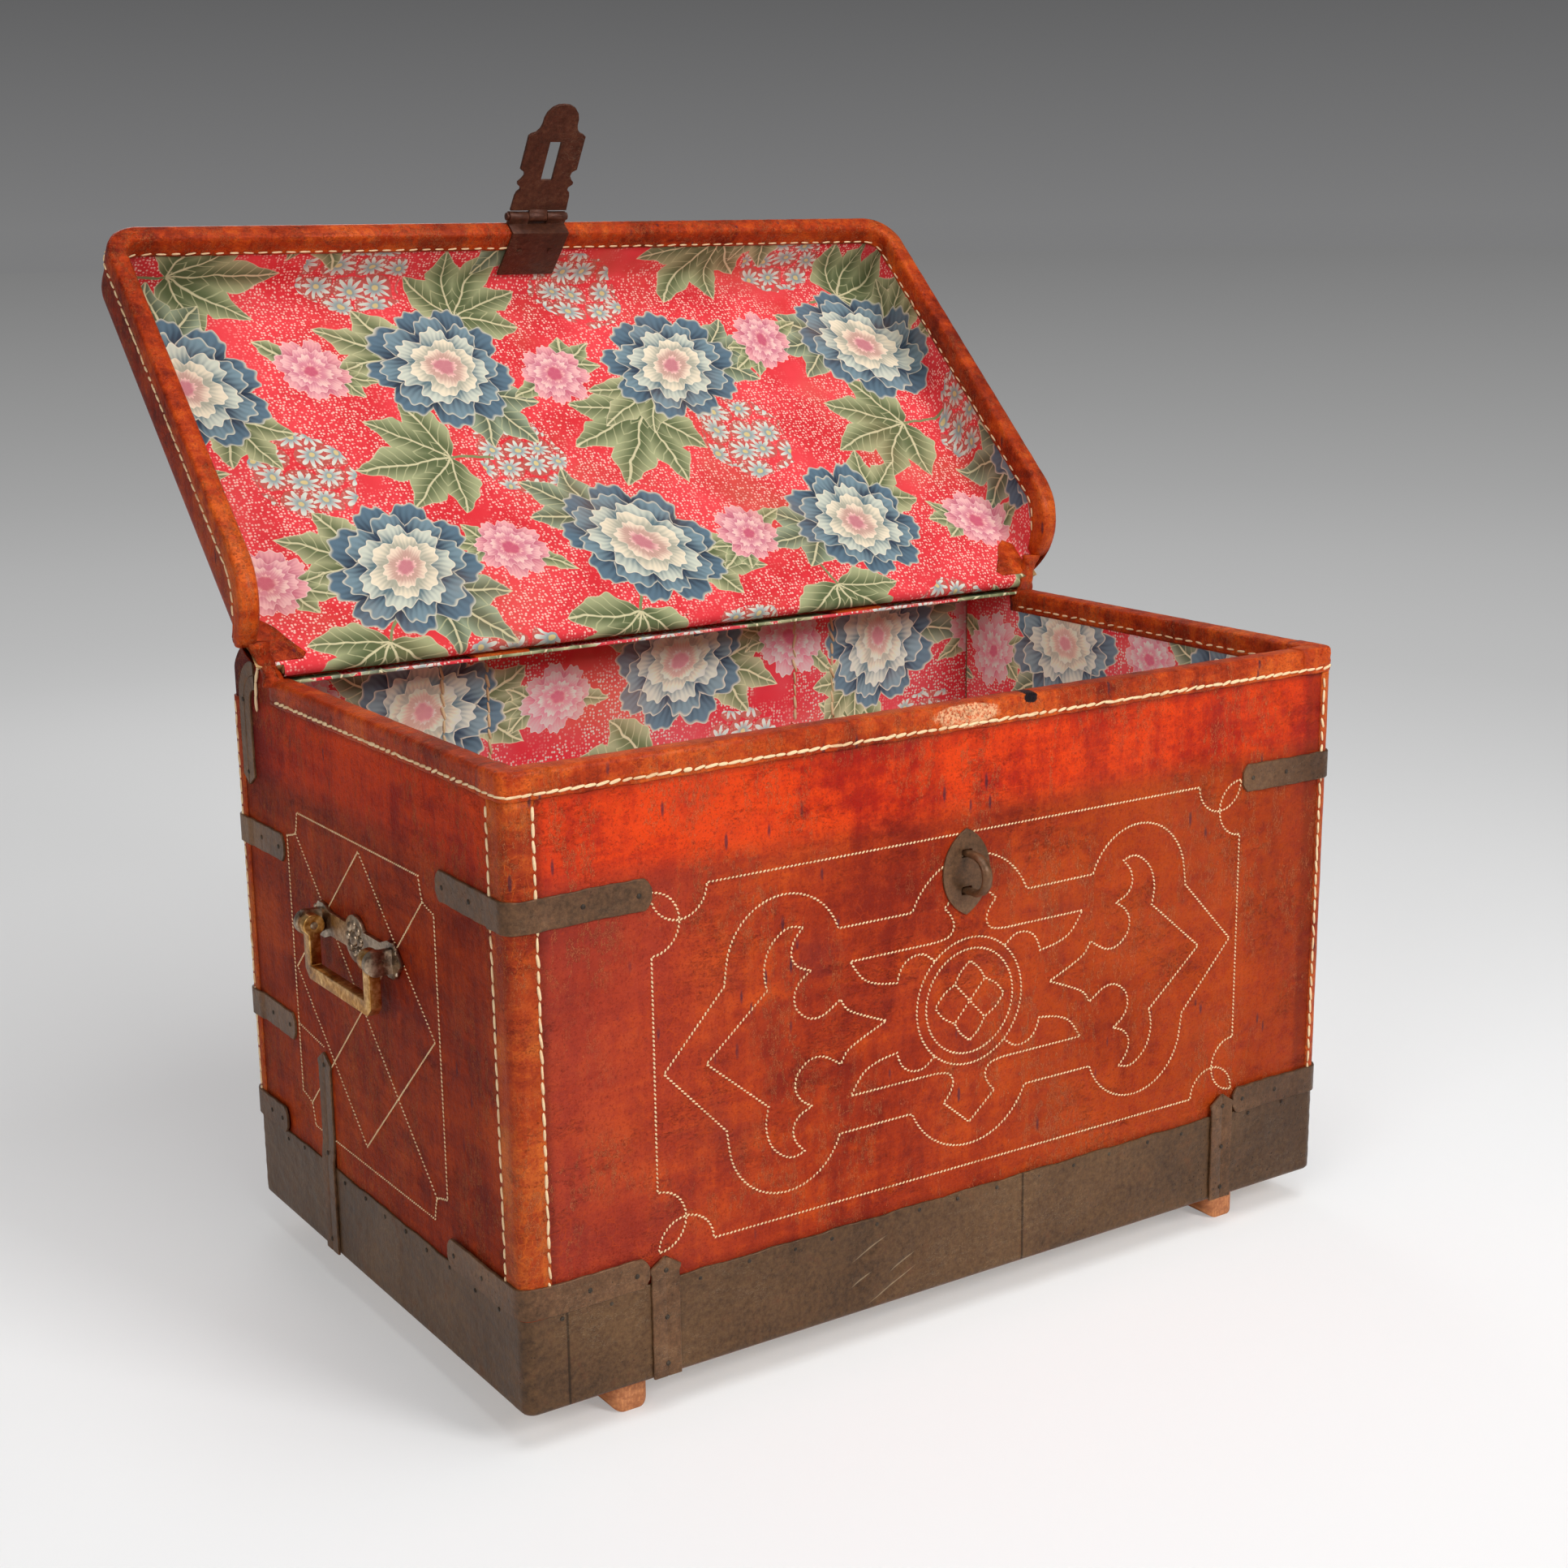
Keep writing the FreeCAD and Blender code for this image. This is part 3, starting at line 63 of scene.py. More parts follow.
CAMERA_FROM_CORNER = Vector((-566.06, -1139.19, 696.64)) * MM
CAMERA_HEADING, CAMERA_TILT, CAMERA_ROLL, CAMERA_LENS = 33.56, -13.66, -0.69, 53.2
LAMPS = (("key_lamp", (0.9, -2.7, 1.8), 1.0, 58), ("side_lamp", (-2.4, -1.5, 1.5), 1.2, 25),
         ("top_lamp", (0.1, -0.8, 2.6), 1.6, 33), ("back_lamp", (0.6, 2.6, 1.7), 1.6, 16))
AIM = Vector((0, 0, 300)) * MM
SKY_LIGHT, SKY_FADE = 0.20, 0.09
FAR_COLOUR, HIGH_COLOUR = (0.20, 0.20, 0.202, 1), (0.12, 0.12, 0.122, 1)
FLOOR_REACH, FLOOR_COLOUR, FLOOR_ROUGHNESS = 40.0, (0.86, 0.86, 0.86, 1), 0.9
GLOW_FROM, GLOW_TO, GLOW_LEAST, GLOW_SPREAD = 0.8, 2.8, 0.30, 0.5
GLOW_GREYS = ((0.04, 0.20), (0.108, 0.24), (0.208, 0.305), (0.286, 0.363), (0.357, 0.43),
              (0.465, 0.51), (0.556, 0.62), (0.75, 0.86), (0.95, 0.95))


class Wire:
    """One output of a tree's nodes. Sums, products and the like of wires add Math nodes."""

    def __init__(self, nodes, socket):
        self.nodes, self.socket = nodes, socket

    def math(self, operation, *others):
        return self.nodes.node("ShaderNodeMath", {"operation": operation}, (self, *others))

    def math_after(self, operation, other):
        return self.nodes.node("ShaderNodeMath", {"operation": operation}, (other, self))

    __add__ = __radd__ = partialmethod(math, "ADD")
    __sub__, __rsub__ = partialmethod(math, "SUBTRACT"), partialmethod(math_after, "SUBTRACT")
    __mul__ = __rmul__ = partialmethod(math, "MULTIPLY")
    __truediv__, __rtruediv__ = partialmethod(math, "DIVIDE"), partialmethod(math_after, "DIVIDE")
    __pow__ = partialmethod(math, "POWER")
    __abs__ = partialmethod(math, "ABSOLUTE")
    __lt__ = partialmethod(math, "LESS_THAN")
    __gt__ = partialmethod(math, "GREATER_THAN")

    def rise(self, low, high, least=0):
        """A soft step: least below low and 1 above high, or the other way if low is the larger."""
        return self.nodes.node("ShaderNodeMapRange", {"interpolation_type": "SMOOTHSTEP"},
                               (self, low, high, least, 1))


class Nodes:
    """A tree of shader nodes in the making."""

    def __init__(self, tree):
        self.tree = tree

    def node(self, kind, settings=None, values=(), out=0, stops=()):
        """Any node: its settings first, then the values or wires of its sockets."""
        node = self.tree.nodes.new(kind)
        for key, value in (settings or {}).items():
            setattr(node, key, value)
        for index, (place, colour) in enumerate(stops):
            elements = node.color_ramp.elements
            stop = elements[index] if index < 2 else elements.new(place)
            stop.position, stop.color = place, colour
        for key, value in (values.items() if isinstance(values, dict) else enumerate(values)):
            self.feed(node.inputs[key], value)
        return Wire(self, node.outputs[out])

    def feed(self, socket, value):
        if isinstance(value, Wire):
            self.tree.links.new(value.socket, socket)
        else:
            socket.default_value = value

    def ramp(self, share, *stops):
        """A colour read from a ramp of (place, colour) stops."""
        return self.node("ShaderNodeValToRGB", None, (share,), stops=stops)

    def apart(self, vector):
        """The three parts of a vector."""
        return [self.node("ShaderNodeSeparateXYZ", None, (vector,), out=i) for i in range(3)]

    def show(self, output, plain, share, seen):
        """Mix a share of what the camera alone sees with the plain shader, and end the tree."""
        share = share * self.node("ShaderNodeLightPath")
        mixed = self.node("ShaderNodeMixShader", None, (share, Wire(self, plain.outputs[0]), seen))
        self.feed(self.tree.nodes[output].inputs["Surface"], mixed)


def turned(x=0.0, z=0.0):
    """A turn about X and then about Z, in degrees."""
    return Matrix.Rotation(math.radians(z), 4, "Z") @ Matrix.Rotation(math.radians(x), 4, "X")


def linked(name, data):
    """A new object in the scene."""
    made = bpy.data.objects.new(name, data)
    bpy.context.scene.collection.objects.link(made)
    return made


camera = linked("camera", bpy.data.cameras.new("camera"))
bpy.context.scene.camera = camera
camera.data.lens = CAMERA_LENS
camera.data.clip_start = 10 * MM
camera.matrix_world = (Matrix.Translation(Vector((-HALF, FRONT, UNDERSIDE)) + CAMERA_FROM_CORNER)
                       @ turned(90 + CAMERA_TILT, -CAMERA_HEADING) @ turned(z=CAMERA_ROLL))
bpy.context.scene.view_settings.view_transform = "Standard"

for lamp_name, place, across, power in LAMPS:
    lamp = linked(lamp_name, bpy.data.lights.new(lamp_name, "AREA"))
    lamp.data.size, lamp.data.energy = across, power
    lamp.location = place
    lamp.rotation_mode = "QUATERNION"
    lamp.rotation_quaternion = (AIM - Vector(place)).to_track_quat("-Z", "Y")

world = bpy.data.worlds.new("studio")
bpy.context.scene.world = world
world.use_nodes = True
sky = Nodes(world.node_tree)
sky_light = sky.tree.nodes["Background"]
sky_light.inputs["Color"].default_value = (1, 1, 1, 1)
sky_light.inputs["Strength"].default_value = SKY_LIGHT
height = sky.apart(sky.node("ShaderNodeTexCoord"))[2]
greys = sky.ramp(height, (0.0, FAR_COLOUR), (SKY_FADE, HIGH_COLOUR))
sky.show("World Output", sky_light, 1.0, sky.node("ShaderNodeBackground", None, (greys,)))

floor_mesh = bpy.data.meshes.new("floor")
floor_mesh.from_pydata([(x * FLOOR_REACH, y * FLOOR_REACH, 0) for x, y in
                        ((-1, -1), (1, -1), (1, 1), (-1, 1))], [], [(0, 1, 2, 3)])
floor = linked("floor", floor_mesh)
floor_finish = bpy.data.materials.new("pale_floor")
floor_finish.use_nodes = True
ground = Nodes(floor_finish.node_tree)
floor_shader = ground.tree.nodes["Principled BSDF"]
floor_shader.inputs["Base Color"].default_value = FLOOR_COLOUR
floor_shader.inputs["Roughness"].default_value = FLOOR_ROUGHNESS
reach = ground.node("ShaderNodeVectorMath", {"operation": "LENGTH"},
                    (ground.node("ShaderNodeTexCoord", out=3),), out=1)
greys = ground.ramp(1 / (reach * GLOW_SPREAD + 1), *[(at, (g, g, g, 1)) for at, g in GLOW_GREYS])
ground.show("Material Output", floor_shader, reach.rise(GLOW_FROM, GLOW_TO, GLOW_LEAST),
            ground.node("ShaderNodeEmission", None, (greys,)))
floor_mesh.materials.append(floor_finish)

# Leather skins of the body: hide dyed red, glued over the boards and polished. Handling has worn it
# to orange and brown patches, and the lid has kept the stretch under the rim redder.


def paint(colour):
    """A colour written as a web colour, as the linear values that a shader takes."""
    if not isinstance(colour, str):
        return colour
    parts = [int(colour[i:i + 2], 16) / 255 for i in (1, 3, 5)]
    return tuple(c / 12.92 if c <= 0.04045 else ((c + 0.055) / 1.055) ** 2.4 for c in parts) + (1,)


class Finish(Nodes):
    """A material in the making. Its colour is laid on in coats; at is the place on the object."""

    def __init__(self, name, **constants):
        self.material = bpy.data.materials.new(name)
        self.material.use_nodes = True
        super().__init__(self.material.node_tree)
        self.set(**constants)
        self.at = self.node("ShaderNodeTexCoord", out=3)
        self.colour = None

    def set(self, **values):
        """Feed the shader's sockets, each named in small letters."""
        for word, value in values.items():
            socket = word.replace("_", " ").title().replace("Ior", "IOR")
            self.feed(self.tree.nodes["Principled BSDF"].inputs[socket], value)

    def ramp(self, share, *stops):
        return super().ramp(share, *[(place, paint(colour)) for place, colour in stops])

    def mix(self, share, low, high, kind="MIX", clamped=False):
        """A colour between two colours."""
        return self.node("ShaderNodeMix", {"data_type": "RGBA", "blend_type": kind,
                                           "clamp_result": clamped},
                         {0: share, 6: paint(low), 7: paint(high)}, out=2)

    def lay(self, mask, colour):
        """A coat of colour over what is there, where the mask says."""
        self.colour = self.mix(mask, self.colour, colour)

    def vector(self, operation, *vectors):
        return self.node("ShaderNodeVectorMath", {"operation": operation}, vectors)

    def noise(self, scale, detail=4, roughness=0.55, at=None, out=0):
        return self.node("ShaderNodeTexNoise", None, {
            "Vector": at or self.at, "Scale": scale, "Detail": detail, "Roughness": roughness}, out)

    def streaks(self, scale, detail, roughness):
        """Noise drawn out along the axes whose scale is small."""
        return self.noise(1.0, detail, roughness, self.vector("MULTIPLY", self.at, scale))

    def hairs(self, scale, detail, roughness, width):
        """Fine lines that wander through the streaks."""
        return abs(self.streaks(scale, detail, roughness) - 0.5).rise(width, 0.0)

    def cells(self, scale, feature="F1", randomness=1.0, at=None):
        return self.node("ShaderNodeTexVoronoi", {"feature": feature}, {
            "Vector": at or self.at, "Scale": scale, "Randomness": randomness})

    def wave(self, scale, distortion, **settings):
        """Even bands or rings."""
        return self.node("ShaderNodeTexWave", settings, {
            "Vector": self.at, "Scale": scale, "Distortion": distortion}, out=1)

    def relief(self, *layers):
        """Reliefs of (height, depth in metres), one over another, given from the lowest."""
        under = {}
        for height, depth in layers:
            under = {"Normal": self.node("ShaderNodeBump", None, {
                "Height": height, "Distance": depth, "Strength": 1.0, **under})}
        return under["Normal"]

    def close(self, roughness, normal, **others):
        """Feed the shader and return the material."""
        self.set(base_color=self.colour, roughness=roughness, normal=normal, **others)
        return self.material


def leather(name, dark, middle, bright, bruise, glow=0.0, amber=0.0, polish=0.30, worn=0.0,
            shade=0.0, blush=0.0, gloss=0.09, coat=0.06):
    """Polished old hide: cloudy dye, bruises, rubbed streaks, scratches, a fine grain, painted
    shade and sheen.
    """
    hide = Finish(name, coat_roughness=0.24, specular_ior_level=gloss)
    x, y, z = hide.apart(hide.at)
    cloud, patch = hide.noise(7.5, 3, 0.6), hide.noise(26, 5, 0.66)
    mottle, fleck = hide.noise(120, 6, 0.74), hide.noise(620, 3, 0.7)
    rubbed, hung = hide.streaks((6, 6, 85), 5, 0.66), hide.streaks((85, 85, 7), 5, 0.66)
    tone = cloud * 0.30 + patch * 0.22 + rubbed * 0.18 + hung * 0.20 + mottle * 0.26
    hide.colour = hide.ramp(tone, (0.495, dark), (0.575, middle), (0.66, bright))
    if amber:
        warm = (x + cloud * 0.30).rise(0.08, 0.30) * amber
        hide.lay(warm * mottle.rise(0.25, 0.65), "#A03C06")
    if blush:
        rosy = (x + cloud * 0.24).rise(0.02, -0.20) * blush
        hide.lay(rosy * (patch * 0.7 + 0.3), "#A33B2C")
    if glow:
        kept = z.rise(RIM - 80 * MM, RIM - 56 * MM) * glow
        hide.lay(kept * (patch * 0.5 + 0.7),
                 hide.mix((tone - x * 0.12).rise(0.50, 0.64), "#A2180A", "#DE3E08"))
    bruised = hide.noise(12, 5, 0.70).rise(0.54, 0.70) * (mottle * 1.3)
    edged = abs(x).rise(HALF - 75 * MM, HALF - 15 * MM) * z.rise(RIM, RIM - 60 * MM) * patch * 0.8
    hide.lay(bruised * 0.56 + edged * 0.5, bruise)
    # Painted shade with some grime: dark lines just below the rim binding and just above the band,
    # and on some hides beside the raised corner strips.
    shade_and_grime_lines = z.rise(RIM - 21 * MM, RIM - 16 * MM) * 0.5 + z.rise(95 * MM, 88 * MM) * 0.4
    if shade:
        # Painted shade at the rear top of each end, under the lid's heel.
        heel_shade = y.rise(BACK - 75 * MM, BACK - 30 * MM) * z.rise(300 * MM, 385 * MM)
        hide.lay(heel_shade * (patch + 0.3) * shade, "#3E1018")
        shade_and_grime_lines = shade_and_grime_lines + y.rise(FRONT + 26 * MM, FRONT + 20 * MM) * 0.45
        shade_and_grime_lines = shade_and_grime_lines + y.rise(BACK - 22 * MM, BACK - 16 * MM) * 0.4
    if blush:
        shade_and_grime_lines = shade_and_grime_lines + abs(x).rise(HALF - 26 * MM, HALF - 20 * MM) * 0.45
    # Lay the painted shade lines, with their grime, in dark brown.
    if blush or shade:
        hide.lay(shade_and_grime_lines * (mottle + 0.3), "#38100C")
    hide.lay(hide.cells(300).rise(0.12, 0.04) * hide.noise(40, 3).rise(0.48, 0.62) * 0.8, "#260B08")
    hide.lay(fleck.rise(0.50, 0.30) * 0.70, dark)
    hide.lay(fleck.rise(0.56, 0.74) * 0.36, bright)
    # Crackle in the polish, its lines painted in the bright tone as a painted sheen.
    crackle_and_sheen = hide.cells(150, "DISTANCE_TO_EDGE").rise(0.045, 0.0)
    hide.lay(crackle_and_sheen * hide.noise(11, 4, 0.7).rise(0.50, 0.64) * 0.5, bright)
    hide.lay(hide.noise(300, 4, 0.8).rise(0.60, 0.70) * 0.45, "#45150D")
    scratch = hide.hairs((30, 30, 11), 7, 0.78, 0.009) * hide.noise(9, 2).rise(0.42, 0.56)
    hide.lay(scratch * 0.7, "#E08C5A")
    nick = hide.cells(1.0, at=hide.vector("MULTIPLY", hide.at, (110, 110, 24))).rise(0.17, 0.08)
    hide.lay(nick * hide.noise(19, 3).rise(0.51, 0.60) * 0.75, "#3D2230")
    gash = hide.hairs((9, 9, 26), 8, 0.80, 0.0034) * hide.noise(14, 2).rise(0.48, 0.60)
    hide.lay(gash * 0.7, "#2A0D0A")
    if worn:
        torn = ((x + 1 * MM) / (29 * MM)) ** 2 + ((z - RIM + 6.5 * MM) / (8.5 * MM)) ** 2
        torn = (torn + mottle * 1.5 - 0.75).rise(0.95, 0.62)
        hide.lay(torn * y.rise(FRONT + 6 * MM, FRONT + 2 * MM) * worn,
                 hide.mix(fleck.rise(0.35, 0.6), "#C8562A", "#E6B084"))
        ink = ((x - 52 * MM) / (7 * MM)) ** 2 + ((z - RIM + 1 * MM) / (4.5 * MM)) ** 2
        ink = (ink + mottle * 1.8 - 0.9).rise(0.8, 0.5)
        hide.lay(ink * y.rise(FRONT + 16 * MM, FRONT + 12 * MM), "#1C1216")
    relief = hide.relief((hide.cells(760) * 0.5 + fleck * 0.9, 0.0003), (mottle + patch, 0.0014),
                         (scratch * -1.0 - gash, 0.0004))
    rough = mottle * 0.22 + polish + bruised * 0.10 + scratch * 0.15
    return hide.close(rough, relief, coat_weight=cloud.rise(0.40, 0.62) * coat)


def dress(finish, *nodes):
    """Give CAD nodes a finish."""
    for node in nodes:
        mesh = frame["nodes"][node].data
        mesh.materials.clear()
        mesh.materials.append(finish)


front_hide = leather("front_hide", "#7A1D0B", "#9C300E", "#BC460E", "#5A1C22", glow=0.9, amber=0.75,
                     blush=0.8)
end_hide = leather("end_hide", "#6C1A08", "#963009", "#B8460C", "#46141A", glow=0.6, shade=1.0,
                   gloss=0.04, coat=0.03)
lid_hide = leather("lid_hide", "#5E190A", "#8E2A0E", "#B04412", "#4B171A")
dress(front_hide, "front_leather")
dress(end_hide, "left_leather", "right_leather", "back_leather")
dress(lid_hide, "lid_leather")

# Ornament of the front and the ends: strapwork figures sewn through the hide with a waxed cream
# thread. Each stitch is a short slanted bead, so a line of them looks like a fine rope.
FRONT_STITCH, END_STITCH, STITCH_SLANT = (2.15, 1.25, 2.85), (2.15, 1.125, 2.85), 30
THREAD_RISE = 0.25 * MM
FIGURE_X, FIGURE_Z = 4 * MM, UNDERSIDE + 197 * MM
FRAME_HALF, FRAME_RISE, KNOT = 240.5, 115, 19.8
LOOSE_TURN, LOOSE_SIZE, THREAD_FLAT = 0.05, 0.08, 0.42
SIDES = ((-1, "left"), (1, "right"))


def shape(name, points, faces, finish, body, replaces=()):
    """A piece made of points and faces, in its finish, riding on a body."""
    mesh = bpy.data.meshes.new(name)
    mesh.from_pydata(np.asarray(points, float).reshape(-1, 3).tolist(), [],
                     [tuple(int(i) for i in face) for face in faces])
    mesh.polygons.foreach_set("use_smooth", [True] * len(mesh.polygons))
    mesh.materials.append(finish)
    mesh.validate()
    piece = linked(name, mesh)
    if body:
        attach(piece, body)
    if replaces:
        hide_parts(*replaces)
    return piece


def loft_faces(rings, around, closed=True, caps=True):
    """Quads between rings of the same number of points, and end caps."""
    last = around if closed else around - 1
    faces = [(r * around + i, r * around + (i + 1) % around,
              (r + 1) * around + (i + 1) % around, (r + 1) * around + i)
             for r in range(rings - 1) for i in range(last)]
    if caps:
        faces.append(tuple(range(around - 1, -1, -1)))
        faces.append(tuple((rings - 1) * around + i for i in range(around)))
    return faces


def arc(centre, radius, start, end, count=14):
    """Points along an arc, its angles in degrees."""
    angles = np.radians(np.linspace(start, end, count))
    return [(centre[0] + radius * math.cos(a), centre[1] + radius * math.sin(a)) for a in angles]


def spaced(line, pitch):
    """Points at an even pitch along a line of points, with the direction at each."""
    line = np.asarray(line, float)
    steps = np.diff(line, axis=0)
    lengths = np.linalg.norm(steps, axis=1)
    steps, lengths = steps[lengths > 1e-9], lengths[lengths > 1e-9]
    gone = np.concatenate([[0], np.cumsum(lengths)])
    corners = np.concatenate([line[:1], line[0] + np.cumsum(steps, axis=0)])
    count = max(1, round(gone[-1] / pitch))
    stops = (np.arange(count) + 0.5) * gone[-1] / count
    places = np.stack([np.interp(stops, gone, corners[:, k]) for k in range(3)], 1)
    along = np.searchsorted(gone, stops, side="right") - 1
    return places, (steps / lengths[:, None])[np.clip(along, 0, len(steps) - 1)]


def beads(places, directions, normals, length, width, slant, loose):
    """The points and faces of one rounded stitch at each place."""
    chance = np.random.default_rng(1)
    count = len(places)
    angle = math.radians(slant) + chance.normal(0, LOOSE_TURN + loose, count)[:, None]
    across = np.cross(normals, directions)
    along = directions * np.cos(angle) + across * np.sin(angle)
    across = np.cross(normals, along)
    stations = ((-0.5, 0.25), (-0.38, 0.8), (0, 1), (0.38, 0.8), (0.5, 0.25))
    around = np.radians(np.arange(6) * 60.0)
    sizes = 1 + chance.normal(0, LOOSE_SIZE + loose, (count, 2))
    points = [places + along * (at * length * sizes[:, :1])
              + across * (math.cos(turn) * girth * width / 2 * sizes[:, 1:])
              + normals * (math.sin(turn) * girth * width * THREAD_FLAT)
              for at, girth in stations for turn in around]
    points = np.stack(points, 1).reshape(-1, 3)
    one = loft_faces(len(stations), len(around))
    step = len(stations) * len(around)
    return points, [tuple(i + k * step for i in face) for k in range(count) for face in one]


def sew(name, seams, body, stitch, slant=0.0, loose=0.0):
    """One piece that holds every stitch of several seams, each given by its points and normals.
    A stitch has a length, a width and a pitch in millimetres."""
    length, width, pitch = np.array(stitch) * MM
    places, directions, normals = [], [], []
    for line, normal in seams:
        at, along = spaced(line, pitch)
        places.append(at)
        directions.append(along)
        normals.append(normal(at) if callable(normal) else np.tile(np.asarray(normal, float),
                                                                   (len(at), 1)))
    points, faces = beads(*map(np.concatenate, (places, directions, normals)), length, width,
                          slant, loose)
    return shape(name, points, faces, thread, body)


def mirrored_lines(lines):
    """The same lines in all four quadrants of a figure."""
    made = list(lines)
    made += [[(-u, v) for u, v in line] for line in made]
    return made + [[(u, -v) for u, v in line] for line in made]


def flow(*points, steps=5):
    """A smooth curve through points."""
    ends = np.array([points[0], *points, points[-1]], float)
    made = [points[0]]
    for a, b, c, d in zip(ends, ends[1:], ends[2:], ends[3:]):
        for t in np.arange(1, steps + 1) / steps:
            made.append(tuple(0.5 * (2 * b + (c - a) * t + (2 * a - 5 * b + 4 * c - d) * t * t
                                     + (3 * b - a - 3 * c + d) * t ** 3)))
    return made


def front_figure():
    """The front's strapwork, as lines about the figure's centre, in millimetres."""
    lobe = arc((145.6, 55), 43, -12, 161.4, 20)
    heart = arc((0, 49.3), 51, 23, 90, 10)
    cartouche = [(234, 0), (190, 47)] + lobe[2:] + [(103.7, 68.7), (49.3, 68.5)] + heart
    leaf = [(203.8, 0)] + flow((159, 38), (161, 51), (157.5, 64), (149.5, 72.5), (141, 76),
                               (132, 74))
    leaf += flow((132, 74), (138.8, 66), (140.5, 57), (136, 49.5), (126, 45))
    leaf += flow((126, 45), (134, 39.5), (138.6, 31.4), (137, 21.7), (128, 14), (117, 13.8),
                 (103.7, 21.7))
    leaf += flow((103.7, 21.7), (98.5, 14), (87.4, 8), (68, 0))
    wing = flow((96, 45), (86.6, 32.2), (75, 26.4), (59.4, 23.7))
    wing += flow((59.4, 23.7), (57.5, 29.5), (54.7, 34.2), (50.5, 37.6), (45.8, 39.2), (40.8, 39.4),
                 (36.1, 38), (28.3, 32.2))
    crest = [(96, 45)] + flow((28.3, 45), (18.6, 46.6), (14.4, 50.4), (13.6, 55.5), (16.7, 62),
                              (21.4, 66.8)) + [(0, 85)]
    petal = flow((28.5, 0), (21.8, 8.0), (12.5, 13.5))
    side = flow((0, 27.5), (7.4, 21.4), (12.5, 13.5))
    rings = [arc((0, 0), 43.5, 0, 360, 72), arc((0, 0), 35.9, 0, 360, 60)]
    return (mirrored_lines([cartouche, leaf, wing, crest, petal, side]) + rings
            + mirrored_lines([[(0, 0), (12.5, 13.5)]]))


def knotted_frame(half, rise, knot):
    """A rectangle whose lines end, at each corner, in two loops that cross like a knot."""
    level = [(2 * knot - half, rise), (half - 2 * knot, rise)]
    upright = [(-half, 2 * knot - rise), (-half, rise - 2 * knot)]
    lower = arc((knot - half, rise), knot, 180, 360, 20)
    upper = arc((-half, rise - knot), knot, 90, -90, 20)
    return [level, [(u, -v) for u, v in level], upright, [(-u, v) for u, v in upright],
            *mirrored_lines([lower, upper])]


def end_figure(side):
    """The figure of an end: a notched frame, a diamond and its crossing lines, in (y, z)."""
    back, front, low, high, notch, inset = 86.6, 319, 85, 311, 20, 15
    rim = []
    for u, v, ahead, up in ((back, high, 1, -1), (back, low, 1, 1), (front, low, -1, 1),
                            (front, high, -1, -1)):
        step = flow((u, v + up * notch), (u + ahead * 12, v + up * 17),
                    (u + ahead * 16.5, v + up * 13.5), (u + ahead * notch, v))
        rim += step[::-1] if ahead != up else step
    diamond = [(208, 306), (312, 207), (196, 99), (91, 198), (208, 306)]
    crossing = [[(back + inset, high - inset), (front - inset, low + inset)],
                [(back + inset, low + inset), (front - inset, high - inset)]]
    tie = [(back, 155), (131, 150)]
    return [([(side * (HALF + THREAD_RISE), BACK - u * MM, UNDERSIDE + v * MM) for u, v in line],
             (side, 0, 0)) for line in (rim + rim[:1], diamond, *crossing, tie)]


waxed = Finish("waxed_thread")
fibre = waxed.noise(1400, 3)
waxed.colour = waxed.mix(fibre, "#D9B07E", "#F3DDB4")
waxed.lay(waxed.noise(60, 3).rise(0.45, 0.75) * 0.5, "#B97B4A")
thread = waxed.close(0.72, waxed.relief((fibre, 0.0002)))
front_lines = front_figure() + knotted_frame(FRAME_HALF, FRAME_RISE, KNOT)
sew("front_stitching", [([(FIGURE_X + u * MM, FRONT - THREAD_RISE, FIGURE_Z + v * MM)
                          for u, v in line], (0, -1, 0)) for line in front_lines],
    "trunk", FRONT_STITCH, STITCH_SLANT)
for side, hand in SIDES:
    sew(hand + "_stitching", end_figure(side), "trunk", END_STITCH, STITCH_SLANT)

# Strips of lighter leather over the four upright corners, sewn down along both edges with a thick
# cream thread. Their edges are pared thin, and scuffing has darkened them.
CORNER, BEND_REACH, EDGE_MARKS = 7 * MM, 5.6 * MM, np.array([0, 0.1, 0.8]) * MM
STRIP_RISE, STRIP_EDGE, STRIP_FOOT, STRIP_ROWS = 1.5 * MM, 1.6 * MM, 86 * MM, 60
STRIPS = (("front_left", -1, -1, 19.2, 20.6, 404, 17.4, 18.9),
          ("front_right", 1, -1, 9.8, 18.0, 404, 8.2, 16.4),
          ("back_left", -1, 1, 18.0, 14.7, 400, 16.2, 8.0),
          ("back_right", 1, 1, 18.0, 14.7, 400, 16.2, 8.0))
STRIP_WAVE, CORNER_STITCH, CORNER_SLANT, CORNER_LOOSE = (60, 0.12), (8.6, 2.1, 9.6), 5, 0.04


def round_corner(u, side, end):
    """The skin's points at distances u round an upright corner, and the ways out there. Distances
    are positive along the front or back and negative along the trunk's end."""
    u = np.asarray(u, float)
    turn = np.clip(math.pi / 4 + u / CORNER, 0, math.pi / 2)[..., None]
    out = np.concatenate([side * np.cos(turn), end * np.sin(turn), 0 * turn], -1)
    centre = np.array([side * (HALF - CORNER), (FRONT if end < 0 else BACK) - end * CORNER, 0.0])
    slide = np.maximum(np.abs(u) - CORNER * math.pi / 4, 0)[..., None]
    along = np.where(u[..., None] > 0, np.array([-side, 0, 0.0]), np.array([0, -end, 0.0]))
    return centre + CORNER * out + slide * along, out


def on_leg(leg):
    """The distance round a corner of a place that lies so far from the corner's edge."""
    return leg - CORNER * (1 - math.pi / 4)


def ripple(places, wave, depth, seed):
    """A smooth random unevenness along a line, of a wave and a depth in millimetres."""
    chance = np.random.default_rng(seed)
    places, wave, depth = np.asarray(places), wave * MM, depth * MM
    total = np.zeros(places.shape)
    for share in (1.0, 0.47, 0.23):
        total += share * np.sin(places / (wave * share) * math.tau + chance.uniform(0, 9))
    return total * depth / 1.7


